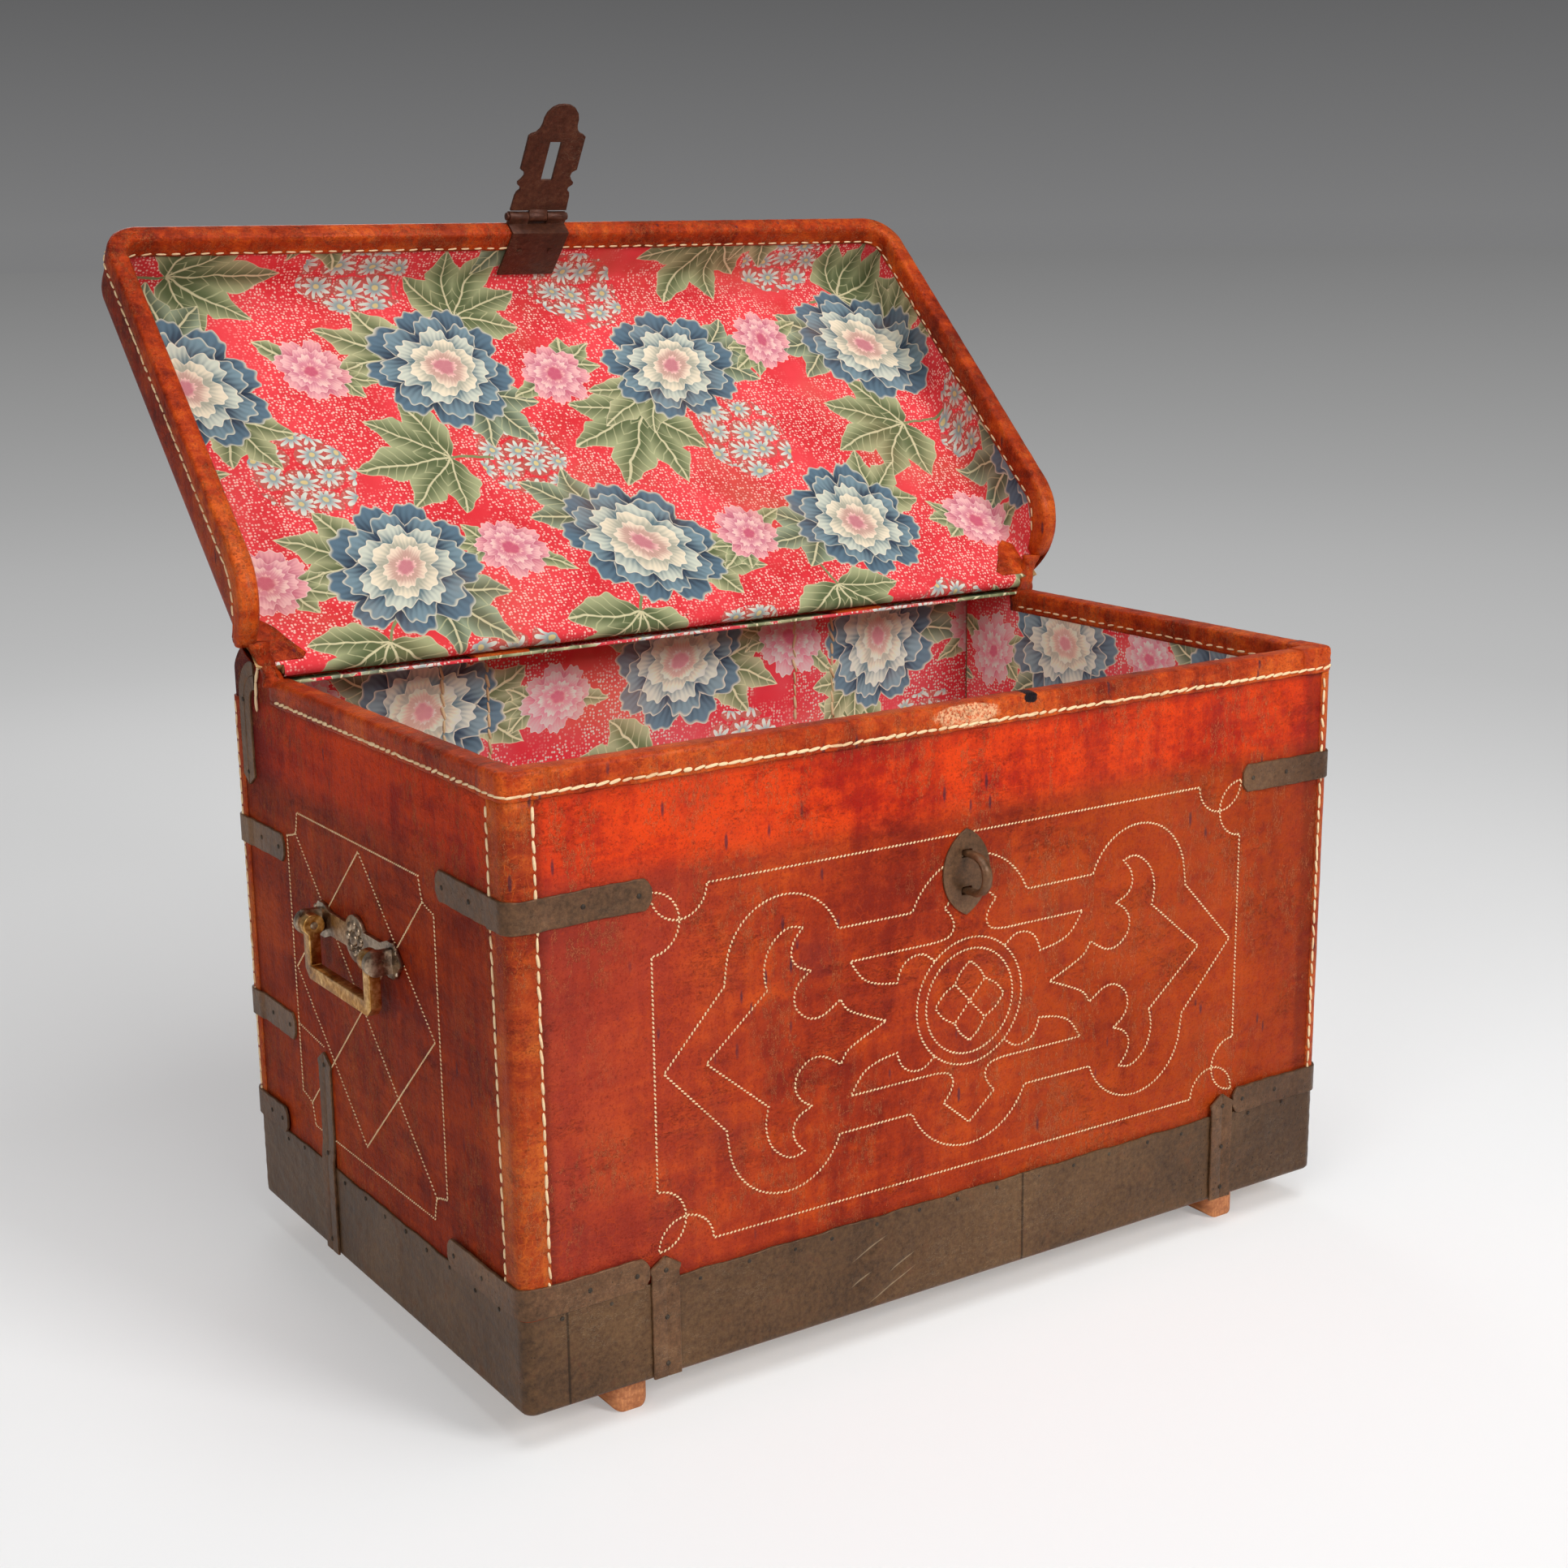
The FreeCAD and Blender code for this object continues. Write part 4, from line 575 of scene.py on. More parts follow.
trim_hide = leather("trim_hide", "#86260D", "#B24414", "#D46A24", "#561A1C", polish=0.28)
corner_seams = []
for corner, side, end, face_leg, end_leg, top, face_seam, end_seam in STRIPS:
    low_u, high_u = -on_leg(end_leg * MM), on_leg(face_leg * MM)
    across = np.concatenate([low_u + EDGE_MARKS, np.linspace(low_u + 2 * MM, -BEND_REACH, 4),
                             np.linspace(-4.6, 4.6, 8) * MM,
                             np.linspace(BEND_REACH, high_u - 2 * MM, 4),
                             high_u - EDGE_MARKS[::-1]])
    from_edge = np.clip(np.minimum(across - low_u, high_u - across), 0, None)
    rise = np.minimum(1, np.sqrt(from_edge / STRIP_EDGE)) * STRIP_RISE
    base, out = round_corner(across, side, end)
    rings = []
    for height in np.linspace(STRIP_FOOT, top * MM, STRIP_ROWS):
        wave = ripple([height], *STRIP_WAVE, 3)[0]
        ring = base + out * (rise + wave * (rise > STRIP_RISE / 2))[:, None]
        rings.append(np.concatenate([ring, base[-2:0:-1]]) + [0, 0, height])
    shape("strip_" + corner, rings, loft_faces(len(rings), len(rings[0])), trim_hide, "trunk",
          ("corner_strip_" + corner,))
    for u in (-on_leg(end_seam * MM), on_leg(face_seam * MM)):
        (foot,), (way,) = round_corner([u], side, end)
        corner_seams.append(([foot + way * (STRIP_RISE + 0.2 * MM) + [0, 0, z] for z in np.linspace(
            STRIP_FOOT + 4 * MM, (top - 3) * MM, 20)], tuple(way)))
sew("corner_stitching", corner_seams, "trunk", CORNER_STITCH, CORNER_SLANT, CORNER_LOOSE)

# Binding of the rim: dark leather folded over the boards' edge on the front and both ends, sewn
# through from side to side with a thick twisted cord. A small cap covers each front corner.
RIM_FOLD = ((0.1, -16), (0.9, -16.1), (1.45, -15.4), (1.6, -14), (1.05, -12.9), (1.6, -11.6),
            (1.95, -9.2), (1.5, -6.6), (1.85, -3.6), (1.4, -0.7), (0.3, 0.9), (-1.8, 1.4),
            (-6.5, 1.6), (-11.8, 1.4), (-13.9, 0.6), (-14.7, -1.3), (-14.8, -7.5), (-14.2, -11.6),
            (-14.75, -13.2), (-14.4, -16), (-13.1, -16), (-13.0, -0.2), (0.0, -0.2))
RIM_STEP, SKIN_POINTS, HEM_POINTS, CAP_SWELL = 20 * MM, 20, 4, 0.5
RIM_SEAMS = (("rim_stitching", 1.75, 12.6, (8.8, 2.2, 8.2), 7, 0.05),
             ("inner_rim_stitching", -14.7, 11.8, (7.6, 1.7, 11), 3, 0.03))
CAP_FIRST, CAP_LENGTH, FOLD_WAVE, HEM_WAVE = 69, 15, (23, 0.2), (37, 0.5)


def joint_place(name):
    """The point that a joint turns about."""
    return np.array(next(j for j in frame["joints"] if j["name"] == name)["pos_m"])


def rim_plan(offset):
    """Points round the rim from hinge to hinge, a distance out of the skin, and the ways out."""
    half, front, bend = HALF + offset, FRONT - offset, max(CORNER + offset, 0.8 * MM)
    run = [((-half, y), (-1, 0)) for y in np.linspace(HINGE_Y, FRONT + RIM_STEP, 72)]
    run += [((-half + bend + bend * math.cos(t), front + bend + bend * math.sin(t)),
             (math.cos(t), math.sin(t))) for t in np.radians(np.linspace(180, 270, 9))]
    run += [((x, front), (0, -1)) for x in np.linspace(RIM_STEP - HALF, 0, 62)]
    run += [((-x, y), (-a, b)) for (x, y), (a, b) in run[-2::-1]]
    return np.array([p for p, way in run]), np.array([way for p, way in run])


def travelled(points):
    """The distance gone at each point of a line."""
    return np.concatenate([[0], np.cumsum(np.linalg.norm(np.diff(points, axis=0), axis=1))])


def fold_over(name, first, last, swell=0.0, replaced=()):
    """Leather folded over the rim between two stations, with a slightly uneven outer side."""
    plans = [rim_plan((o + math.copysign(swell, o)) * MM)[0] for o, z in RIM_FOLD]
    gone = travelled(plans[-1])
    hem = ripple(gone, *HEM_WAVE, 5)
    rings = []
    for index in range(first, last):
        ring = []
        for k, (plan, (o, z)) in enumerate(zip(plans, RIM_FOLD)):
            wave = ripple([gone[index]], *FOLD_WAVE, 11 + k)[0] if k < SKIN_POINTS else 0
            drop = hem[index] if k < HEM_POINTS else 0
            up = 1 if z > -1 else 0
            ring.append((*plan[index], RIM + (z + up * swell) * MM + drop + wave * up))
        rings.append(ring)
    shape(name, rings, loft_faces(len(rings), len(RIM_FOLD)), binding_hide, "trunk",
          replaced)


def rim_seam(offset, height):
    """A seam round the rim: its line, and the way out at any of its points."""
    spots, ways = rim_plan(offset)
    sign = 1 if offset > 0 else -1
    return [(x, y, height) for x, y in spots[2:-2]], lambda at: sign * np.array([
        (*ways[np.argmin(np.hypot(spots[:, 0] - p[0], spots[:, 1] - p[1]))], 0) for p in at])


HINGE_Y, HINGE_Z = joint_place("lid_hinge")[1:]
binding_hide = leather("binding_hide", "#6E1B08", "#A8370F", "#D05C1C", "#3C1010", polish=0.22,
                       worn=1.0)
stations = len(rim_plan(0)[0])
fold_over("rim_fold", 0, stations, replaced=("rim_binding",))
fold_over("rim_cap_left", CAP_FIRST, CAP_FIRST + CAP_LENGTH, CAP_SWELL)
fold_over("rim_cap_right", stations - CAP_FIRST - CAP_LENGTH, stations - CAP_FIRST, CAP_SWELL)
for name, offset, drop, stitch, slant, loose in RIM_SEAMS:
    sew(name, [rim_seam(offset * MM, RIM - drop * MM)], "trunk", stitch, slant, loose)

# Iron band round the foot: thin sheets lapped at their ends, nailed along the top edge and dressed
# over the lower edge of the boards. Years of knocks have dented and blackened them, and the creases
# of the dents carry painted highlights.
BAND_LAP, LAP_EDGE, BAND_CREST, CREASE_LEAN = 0.55 * MM, 0.15 * MM, 86 * MM, 0.45
DENTS = ((-0.078, 0.066, 0.017, 0.0042, 2.2), (-0.052, 0.050, 0.013, 0.0038, 1.8),
         (-0.060, 0.036, 0.024, 0.0038, 1.6), (-0.085, 0.046, 0.010, 0.0036, 1.5),
         (0.120, 0.050, 0.030, 0.010, 1.1), (-0.215, 0.055, 0.024, 0.012, 1.0),
         (0.255, 0.045, 0.02, 0.009, 1.2))
BAND_LEVELS = (24.2, 24.0, 24.4, 25.6, *np.linspace(28, 84, 40), 86, 87.4, 87.9, 88.0, 87.9)
BAND_DEPTHS = (-7, -1.5, 0.4, 1.2, *[1.35] * 40, 1.3, 1.25, 1.1, 0.6, 0.05)
UP = np.array([0, 0, 1.0])


def band_round():
    """Points once round the foot of the body, and the ways out."""
    laps = [on_leg(lap * MM) + sign * LAP_EDGE for lap in (28, 280) for sign in (-1, 1)]
    ahead = np.unique(np.concatenate([np.linspace(BEND_REACH, on_leg(HALF), 110), laps]))
    u = np.concatenate([-np.linspace(on_leg((BACK - FRONT) / 2), BEND_REACH, 36),
                        np.linspace(-5.2, 5.2, 9) * MM, ahead])
    corners = [round_corner(u[::way], side, end)
               for side, end, way in ((-1, -1, 1), (1, -1, -1), (1, 1, 1), (-1, 1, -1))]
    return [np.concatenate([part[:-1] for part in parts]) for parts in zip(*corners)]


def iron(name, dark, middle, bright, rust, shine, seams=(), crease_highlights=()):
    """Old wrought or sheet iron: brown patina, black pits, rust bloom, rubbed bright places,
    painted highlights.
    """
    metal = Finish(name, specular_ior_level=0.26)
    x, y, z = metal.apart(metal.at)
    cloud, fine = metal.noise(13, 5, 0.62), metal.noise(240, 6, 0.78)
    metal.colour = metal.ramp(cloud * 0.42 + fine * 0.58, (0.38, dark), (0.51, middle),
                              (0.66, bright))
    bloom = metal.noise(52, 6, 0.74).rise(0.54, 0.70)
    metal.lay(bloom * 0.45, rust)
    scorched = x.rise(HALF - 105 * MM, HALF - 8 * MM) * (cloud + 0.35)
    grime = metal.noise(24, 5, 0.72).rise(0.56, 0.74) * 0.22
    metal.lay(grime + scorched * 0.5, "#2B1810")
    pits = metal.cells(270).rise(0.20, 0.07)
    pits = pits * (metal.noise(34, 3).rise(0.50, 0.64) * 0.6 + x.rise(0.0, HALF) * 0.5)
    metal.lay(pits * 0.75, "#1B1410")
    on_front = y.rise(FRONT + 4 * MM, FRONT + 1 * MM)
    for seam in seams:
        metal.lay(abs(x - seam * MM).rise(1.1 * MM, 0.35 * MM) * on_front * 0.65, "#20160F")
    # Painted highlights: pale streaks along the creases of the dents, where they would catch the
    # light.
    for from_x, from_z, wide, high, deep in crease_highlights:
        along = abs(x - from_x) / (wide * 0.8)
        line = abs(z - from_z - (x - from_x) * CREASE_LEAN - high * 0.25) * 1000
        line = (line + along * along * 0.7).rise(1.0, 0.35) * on_front
        metal.lay(line * 0.42 * (fine + 0.3), "#C4AE8C")
    scratch = metal.hairs((22, 22, 60), 6, 0.75, 0.003) * metal.noise(12, 2).rise(0.48, 0.62)
    metal.lay(scratch * 0.5, "#AE9C82")
    rough = shine + fine * 0.22 + bloom * 0.15 + pits * 0.1
    relief = metal.relief((fine, 0.00016), (metal.noise(42, 4, 0.6), 0.0018), (pits * -1.0, 0.0006))
    return metal.close(rough, relief, metallic=bloom * -0.18 + 0.26)


band_iron = iron("band_iron", "#3E2B1C", "#5A4029", "#745638", "#5E341C", 0.27, seams=(-302, 50),
                 crease_highlights=DENTS[:4])
strap_iron = iron("strap_iron", "#44301F", "#64462F", "#826042", "#663C26", 0.26)
spots, ways = band_round()
loop_at = travelled(spots)
from_left = spots[:, 0] + HALF
laps = np.zeros(len(spots))
for low, high in ((0.028, 0.380), (0.380, 0.655)):
    sheet = (ways[:, 1] < -0.5) & (low <= from_left) & (from_left < high)
    laps[sheet] = BAND_LAP * (1 - (from_left[sheet] - low) / (high - low))
band_rings = []
for level, depth in zip(np.array(BAND_LEVELS) * MM, np.array(BAND_DEPTHS) * MM):
    lift = np.full(len(spots), depth)
    if depth > 1 * MM:
        lift += (ripple(loop_at, 95, 0.22, 21)
                 + ripple(loop_at + level * 3, 41, 0.16, 22) + laps)
        for x, z, wide, high, deep in DENTS:
            along = spots[:, 0] - x
            near = (along / wide) ** 2 + ((level - z - along * CREASE_LEAN) / high) ** 2
            lift -= np.exp(-near * 2.2) * deep * 0.55 * MM * (ways[:, 1] < -0.9)
    edge = ripple(loop_at, 53, 0.7, 23) * (level > BAND_CREST)
    band_rings.append(spots + ways * lift[:, None] + UP * (level + edge)[:, None])
shape("foot_band", band_rings, loft_faces(len(band_rings), len(spots), caps=False), band_iron,
      "trunk", ("band_front", "band_back", "band_left", "band_right"))

# Iron straps bent round the corners and standing over the band, cut from strip with shaped ends and
# nailed through the leather. They dip to the leather beyond each corner's sewn strip.
STRAP_THICK, STRAP_EDGE, STRAP_GROOVE = 1.6 * MM, 0.45 * MM, 0.9 * MM
STRAP_TIP = ((0, 4.2), (4.6, 11.4), (9.0, 12.2), (11.2, 10.3), (15, 9.9), (400, 9.9))
POST_TIP = ((0, 0.6), (7.0, 10.9), (9.0, 10.9), (11.2, 9.9), (400, 9.9))
TIP_MARKS, STATION_PITCH = (0.0, 2.3, 4.6, 7.0, 9.0, 11.2, 13, 15, 18, 21), 2.5 * MM
CORNER_STRAPS = (("upper_iron_front", -1, 336, 94.3, 92.0, False),
                 ("base_iron_front", -1, 96.5, 85.0, 97.0, True),
                 ("upper_iron_back", 1, 304, 81.5, 81.5, False),
                 ("lower_iron_back", 1, 174, 81.5, 81.5, False),
                 ("base_iron_back", 1, 96.5, 58.5, 58.5, True))
SHORT_STRAP, STRIP_CLEAR, STRAP_DIP, DIP_REACH = 84.2 * MM, 20.6 * MM, 1.5 * MM, 5 * MM
STRAP_RAISED, STRAP_SAG, STRAP_WEAR, POST_WEAR = 1.62 * MM, (70, 0.45), (17, 0.22), (17, 0.2)
POSTS = (("front_post", False, 104.5), ("side_post", True, 170.5))
POST_FOOT, POST_RAISED, FRONT_POST_IN, SIDE_POST_IN = 24.4 * MM, 1.72 * MM, 96 * MM, 131 * MM
SHOULDER_FOOT, IRON_MIDDLE, IRON_BEND = SHOULDER - 42 * MM, 106.95 * MM, 20 * MM
TIP_NAIL, STRAP_NAIL, NAIL_PITCH = 9 * MM, 1.7, 33.5 * MM
BAND_NAIL, BAND_NAIL_Z, BAND_NAIL_OUT = 1.5, 83 * MM, 1.5 * MM
nails = []


def strap_half(distance, tip=STRAP_TIP):
    """Half of a strap's width at a distance from its shaped tip."""
    return np.interp(np.asarray(distance) / MM, *zip(*tip)) * MM


def ribbon(name, centre, out, across, half, outset, replaced, groove=0.0):
    """A strap laid along a line: its middle, the ways out and across, and its reach each way."""
    thick, edge, line = STRAP_THICK, STRAP_EDGE, STRAP_GROOVE
    ring = [(-half, 0), (-half, thick - edge), (edge - half, thick), (-line, thick),
            (0, thick - groove), (line, thick), (half - edge, thick), (half, thick - edge),
            (half, 0)]
    points = np.stack([centre + out * (outset + rise)[:, None] + across * np.clip(
        reach, -half, half)[:, None] for reach, rise in ring], 1)
    strap = shape(name, points, loft_faces(len(centre), len(ring)), strap_iron, "trunk",
                  (replaced,))
    strap.data.set_sharp_from_angle(angle=math.radians(34))


def stations_between(start, stop):
    """Places from one tip to the other, close together where the tips are shaped."""
    marks = np.array(TIP_MARKS) * MM
    between = np.arange(start + marks[-1], stop - marks[-1], STATION_PITCH)
    return np.unique(np.round(np.concatenate([start + marks, between, stop - marks]), 7))


for index, (family, end, height, face_leg, end_leg, raised) in enumerate(CORNER_STRAPS):
    for side, hand in SIDES:
        start, stop = -on_leg(end_leg * MM), on_leg(face_leg * MM)
        if side > 0 and family == "upper_iron_front":
            stop = on_leg(SHORT_STRAP)
        u = stations_between(start, stop)
        base, out = round_corner(u, side, end)
        sag = ripple(u, *STRAP_SAG, 31 + index + side) + height * MM
        wear = ripple(u, *STRAP_WEAR, 47 + index + side)
        hug = np.clip((np.abs(u) - on_leg(STRIP_CLEAR)) / DIP_REACH, 0, 1)
        outset = STRAP_RAISED - (0 if raised else STRAP_DIP) * hug * hug * (3 - 2 * hug)
        ribbon(family + "_strap_" + hand, base + UP * sag[:, None], out, UP,
               np.minimum(strap_half(u - start), strap_half(stop - u)) + wear, outset,
               family + "_" + hand)
        for u_nail in (start + TIP_NAIL, start / 2, stop / 2, stop - TIP_NAIL):
            (foot,), (way,) = round_corner([u_nail], side, end)
            lift = np.interp(u_nail, u, outset) + STRAP_THICK
            nails.append((foot + way * lift + [0, 0, height * MM], way, STRAP_NAIL))

for family, on_end, top in POSTS:
    for side, hand in SIDES:
        z = stations_between(POST_FOOT, top * MM)
        z = np.concatenate([[POST_FOOT], z[z > 26 * MM]])
        if on_end:
            laid = (side * HALF, BACK - SIDE_POST_IN, 0), (side, 0, 0), (0, 1, 0)
        else:
            laid = (side * (HALF - FRONT_POST_IN), FRONT, 0), (0, -1, 0), (1, 0, 0)
        foot, out, across = np.array(laid, float)
        wear = ripple(z, *POST_WEAR, 61 + side)
        above = np.clip((z - 92 * MM) / (14 * MM), 0, 1)
        outset = POST_RAISED + BAND_LAP * (not on_end) - STRAP_DIP * above * on_end
        ribbon(family + "_strap_" + hand, foot + UP * z[:, None], out, across,
               strap_half(top * MM - z, POST_TIP) + wear, outset, family + "_" + hand, 0.35 * MM)
        for z_nail in (33 * MM, (24 * MM + top * MM) / 2, top * MM - TIP_NAIL):
            lift = np.interp(z_nail, z, outset) + STRAP_THICK
            nails.append((foot + UP * z_nail + out * lift, out, STRAP_NAIL))

for side, hand in SIDES:
    heights = np.concatenate([[339.2, 341.5, 343.8, 346, 350, 358], np.linspace(366, 398, 9)]) * MM
    path = np.array([(IRON_MIDDLE, z) for z in heights]
                    + arc((IRON_MIDDLE - IRON_BEND, SHOULDER_FOOT), IRON_BEND, 0, 90))
    steps = np.gradient(path, axis=0)
    steps /= np.linalg.norm(steps, axis=1)[:, None]
    level = 0 * path[:, 0]
    gone = travelled(path)
    ribbon("shoulder_strap_" + hand, np.column_stack([side * HALF + level, path]),
           np.array([side, 0, 0.0]), np.column_stack([level, steps[:, 1], -steps[:, 0]]),
           strap_half(gone, POST_TIP), 0.1 * MM + level, "shoulder_iron_" + hand, 0.7 * MM)
    for y, z in ((IRON_MIDDLE, 348 * MM), (IRON_MIDDLE + 2 * MM, SHOULDER_FOOT)):
        nails.append((np.array([side * (HALF + 1.7 * MM), y, z]), np.array([side, 0, 0.0]),
                      STRAP_NAIL))

chance = np.random.default_rng(77)


def band_nail(place, way):
    """A nail of the band, set a little beside its place along the band and in height."""
    along = np.abs(np.cross(UP, way)) * chance.normal(0, 1.5 * MM)
    up = UP * (BAND_NAIL_Z + chance.normal(0, 0.8 * MM))
    nails.append((np.array(place) + np.array(way) * BAND_NAIL_OUT + along + up, way, BAND_NAIL))


for x in np.arange(-0.306, 0.307, NAIL_PITCH):
    if abs(abs(x) - (HALF - FRONT_POST_IN)) > 16 * MM:
        band_nail((x, FRONT, 0), (0, -1, 0))
        band_nail((x, BACK, 0), (0, 1, 0))
for y in np.arange(FRONT + 0.03, BACK - 0.02, NAIL_PITCH):
    if abs(y - BACK + SIDE_POST_IN) > 15 * MM:
        for side, hand in SIDES:
            band_nail((side * HALF, y, 0), (side, 0, 0))


def domes(name, spots, finish, replaced=(), low=0.45):
    """Low round nail heads at places, each with its way out and its radius in millimetres."""
    points, faces = [], []
    for place, way, radius in spots:
        way = np.asarray(way, float)
        aside = np.cross(way, UP)
        aside /= np.linalg.norm(aside)
        other = np.cross(way, aside)
        faces += [tuple(i + len(points) for i in face) for face in loft_faces(4, 10)]
        for share, rise in ((1.0, -0.5), (1.0, 0.1), (0.8, 0.62), (0.42, 0.94)):
            for turn in np.arange(10) * math.tau / 10:
                round_way = aside * math.cos(turn) + other * math.sin(turn)
                points.append(place + radius * MM * (share * round_way + way * rise * low))
    shape(name, points, faces, finish, "trunk", replaced)


nail_iron = iron("nail_iron", "#1E1813", "#3A3027", "#5C5040", "#3E2A1E", 0.38)
domes("nail_heads", nails, nail_iron, ("strap_nails",))

# Staple of the lock: a forged loop riveted through a pointed plate in the middle of the front. The
# lid's hasp drops over it, and its bar is an oval about eight millimetres wide.
STAPLE_Z, STAPLE_WIDE, STAPLE_DEEP = UNDERSIDE + 286 * MM, 4 * MM, 2.4 * MM
STAPLE_LINE = ((0, 12.6), (6, 12.6), (12.6, 12.2), (18.2, 9.8), (21.6, 5.2), (22.5, 0),
               (21.6, -5.2), (18.2, -9.8), (12.6, -12.2), (6, -12.6), (0, -12.6))
EASE_ANGLE, WELD = 32, 0.02 * MM


def softened(node, edge, finish, body, segments=2):
    """A rigid piece of the frame with its edges eased and its curves shaded smooth."""
    piece = linked(node + "_eased", frame["nodes"][node].data.copy())
    piece.data.materials.clear()
    piece.data.materials.append(finish)
    piece.modifiers.new("weld", "WELD").merge_threshold = WELD
    ease = piece.modifiers.new("ease", "BEVEL")
    ease.width, ease.segments, ease.limit_method = edge, segments, "ANGLE"
    ease.angle_limit = math.radians(EASE_ANGLE)
    ease.harden_normals = True
    piece.data.polygons.foreach_set("use_smooth", [True] * len(piece.data.polygons))
    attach(piece, body)
    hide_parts(node)


staple = [(FRONT - u * MM, STAPLE_Z + v * MM) for u, v in STAPLE_LINE]
steps = np.gradient(np.array(staple), axis=0)
steps /= np.linalg.norm(steps, axis=1)[:, None]
rings = [[(STAPLE_WIDE * math.cos(t), y + dz * STAPLE_DEEP * math.sin(t),
           z - dy * STAPLE_DEEP * math.sin(t)) for t in np.radians(np.arange(12) * 30)]
         for (y, z), (dy, dz) in zip(staple, steps)]
shape("staple_loop", rings, loft_faces(len(rings), 12), strap_iron, "trunk",
      ("staple",))
softened("staple_plate", 0.4 * MM, strap_iron, "trunk")

# Drop handles on both ends: a cast plate with a plain rosette, riveted through the leather, with
# two lugs that carry a squared brass bail. The brass has browned and shines where hands rub it.
HANDLE_Y, HANDLE_Z, HANDLE_FACE = BACK - 201 * MM, UNDERSIDE + 246 * MM, 3 * MM
ROSETTE_BEADS, ROSETTE_REACH, RIVET_REACH, RIVET_RISE = 8, 9.4 * MM, 64 * MM, 7 * MM


def brass(name, dark, middle, bright):
    """Old brass: brown in the hollows, golden where it is rubbed."""
    metal = Finish(name, metallic=1.0)
    cloud, fine = metal.noise(38, 4, 0.6), metal.noise(260, 5, 0.7)
    metal.colour = metal.ramp(cloud * 0.5 + fine * 0.5, (0.38, dark), (0.5, middle), (0.64, bright))
    relief = metal.relief((fine, 0.0002), (metal.noise(90, 3), 0.0006))
    return metal.close(cloud * 0.3 + 0.16, relief)


bail_brass = brass("bail_brass", "#7C5228", "#BE8846", "#F4CE8C")
plate_brass = brass("plate_brass", "#6C5A4C", "#AC967E", "#E6D8C0")
for side, hand in SIDES:
    rosette = [(0, 0, 5.2)]
    rosette += [(ROSETTE_REACH * math.cos(t), ROSETTE_REACH * math.sin(t), 3.6)
                for t in np.arange(ROSETTE_BEADS) * math.tau / ROSETTE_BEADS]
    rosette += [(e * RIVET_REACH, d * RIVET_RISE, 1.8) for e in (-1, 1) for d in (-1, 1)]
    domes("rosette_" + hand, [(np.array([side * (HALF + HANDLE_FACE), HANDLE_Y + y, HANDLE_Z + z]),
                               (side, 0, 0), radius) for y, z, radius in rosette],
          plate_brass, low=0.55)
    softened("bail_" + hand, 1.6 * MM, bail_brass, "handle_" + hand, segments=3)
    softened("handle_plate_" + hand, 0.55 * MM, plate_brass, "trunk")

# Runners: two bars of pale wood with rounded ends, nailed under the floor. The boards of the body
# and of the lid are plain sawn wood, which shows only where the coverings leave it bare.
BOARDS = ("floor_board", "front_board", "left_end_board", "right_end_board", "back_board",
          "shoulder_board", "lid_top_board", "lid_front_rail", "lid_left_rail", "lid_right_rail")


def wood(name, pale, deep, scale):
    """Plain sawn wood with its grain along Y."""
    bar = Finish(name)
    grain = bar.streaks((scale, scale * 0.06, scale), 5, 0.65)
    bar.colour = bar.mix(grain.rise(0.35, 0.65), pale, deep)
    rings = bar.wave(130, 1.6, wave_type="RINGS", rings_direction="Y")
    bar.lay(rings * 0.45, deep)
    return bar.close(grain * 0.2 + 0.55, bar.relief((grain, 0.0004)))


runner_wood = wood("runner_wood", "#D08A55", "#A5623A", 320)
for side, hand in SIDES:
    softened("runner_" + hand, 1.0 * MM, runner_wood, "trunk")
dress(wood("board_wood", "#C9A26E", "#9A7346", 90), *BOARDS)
dress(trim_hide, "hinge_strap_left", "hinge_strap_right")

# Lining of the body: printed cotton glued to the boards and over the hinge straps, which raise it a
# little. The straps' cream threads come through it in four upright rows. Its print is painted
# lighter than the lid's, standing in for the light that fills the box.
WALL_IN, FLOOR_IN, FLOOR_SHEET = 13 * MM, 35 * MM, (0.634, 0.392)
STRAP_CENTRE, STRAP_HALF, STRAP_LOW, STRAP_RISE = 157 * MM, 21.5 * MM, 320 * MM, 2.0 * MM
REPEAT = (0.206, 0.186)
ROSE = ((0.0300, 8, 0.1, "#CC6780", "#F0ABB0"), (0.0228, 7, 0.45, "#D67C92", "#F5BFC0"),
        (0.0155, 6, 0.2, "#DC8698", "#F8D0CA"), (0.0082, 5, 0.6, "#CE5A76", "#F3BCB8"))
PEONY = ((0.0610, 9, 0.15, "#1C2A3E", "#587488", "#D9D3BE"),
         (0.0500, 8, 0.55, "#24344A", "#7893A0", "#E3DBC4"),
         (0.0390, 7, 0.30, "#5A747E", "#D3D8CA", "#F0E6CF"),
         (0.0290, 6, 0.75, "#ACAB9B", "#F1E5CD", "#F6EBD4"),
         (0.0190, 5, 0.10, "#C9A094", "#F4E0CA", "#F7EAD6"),
         (0.0095, 5, 0.50, "#CB7E88", "#F1C6BE", "#F8E2D4"))
BACK_HEM = ((27.5, 428.6, -1), (24, 425.2, -0.7), (18.6, 419.6, -0.3), (16, 418.4, 0),
            (9, 418.2, 0), (0, 418.2, 0), (-7.6, 418.2, 0), (-8.2, 418.8, 0), (-8.0, 420.6, 0))


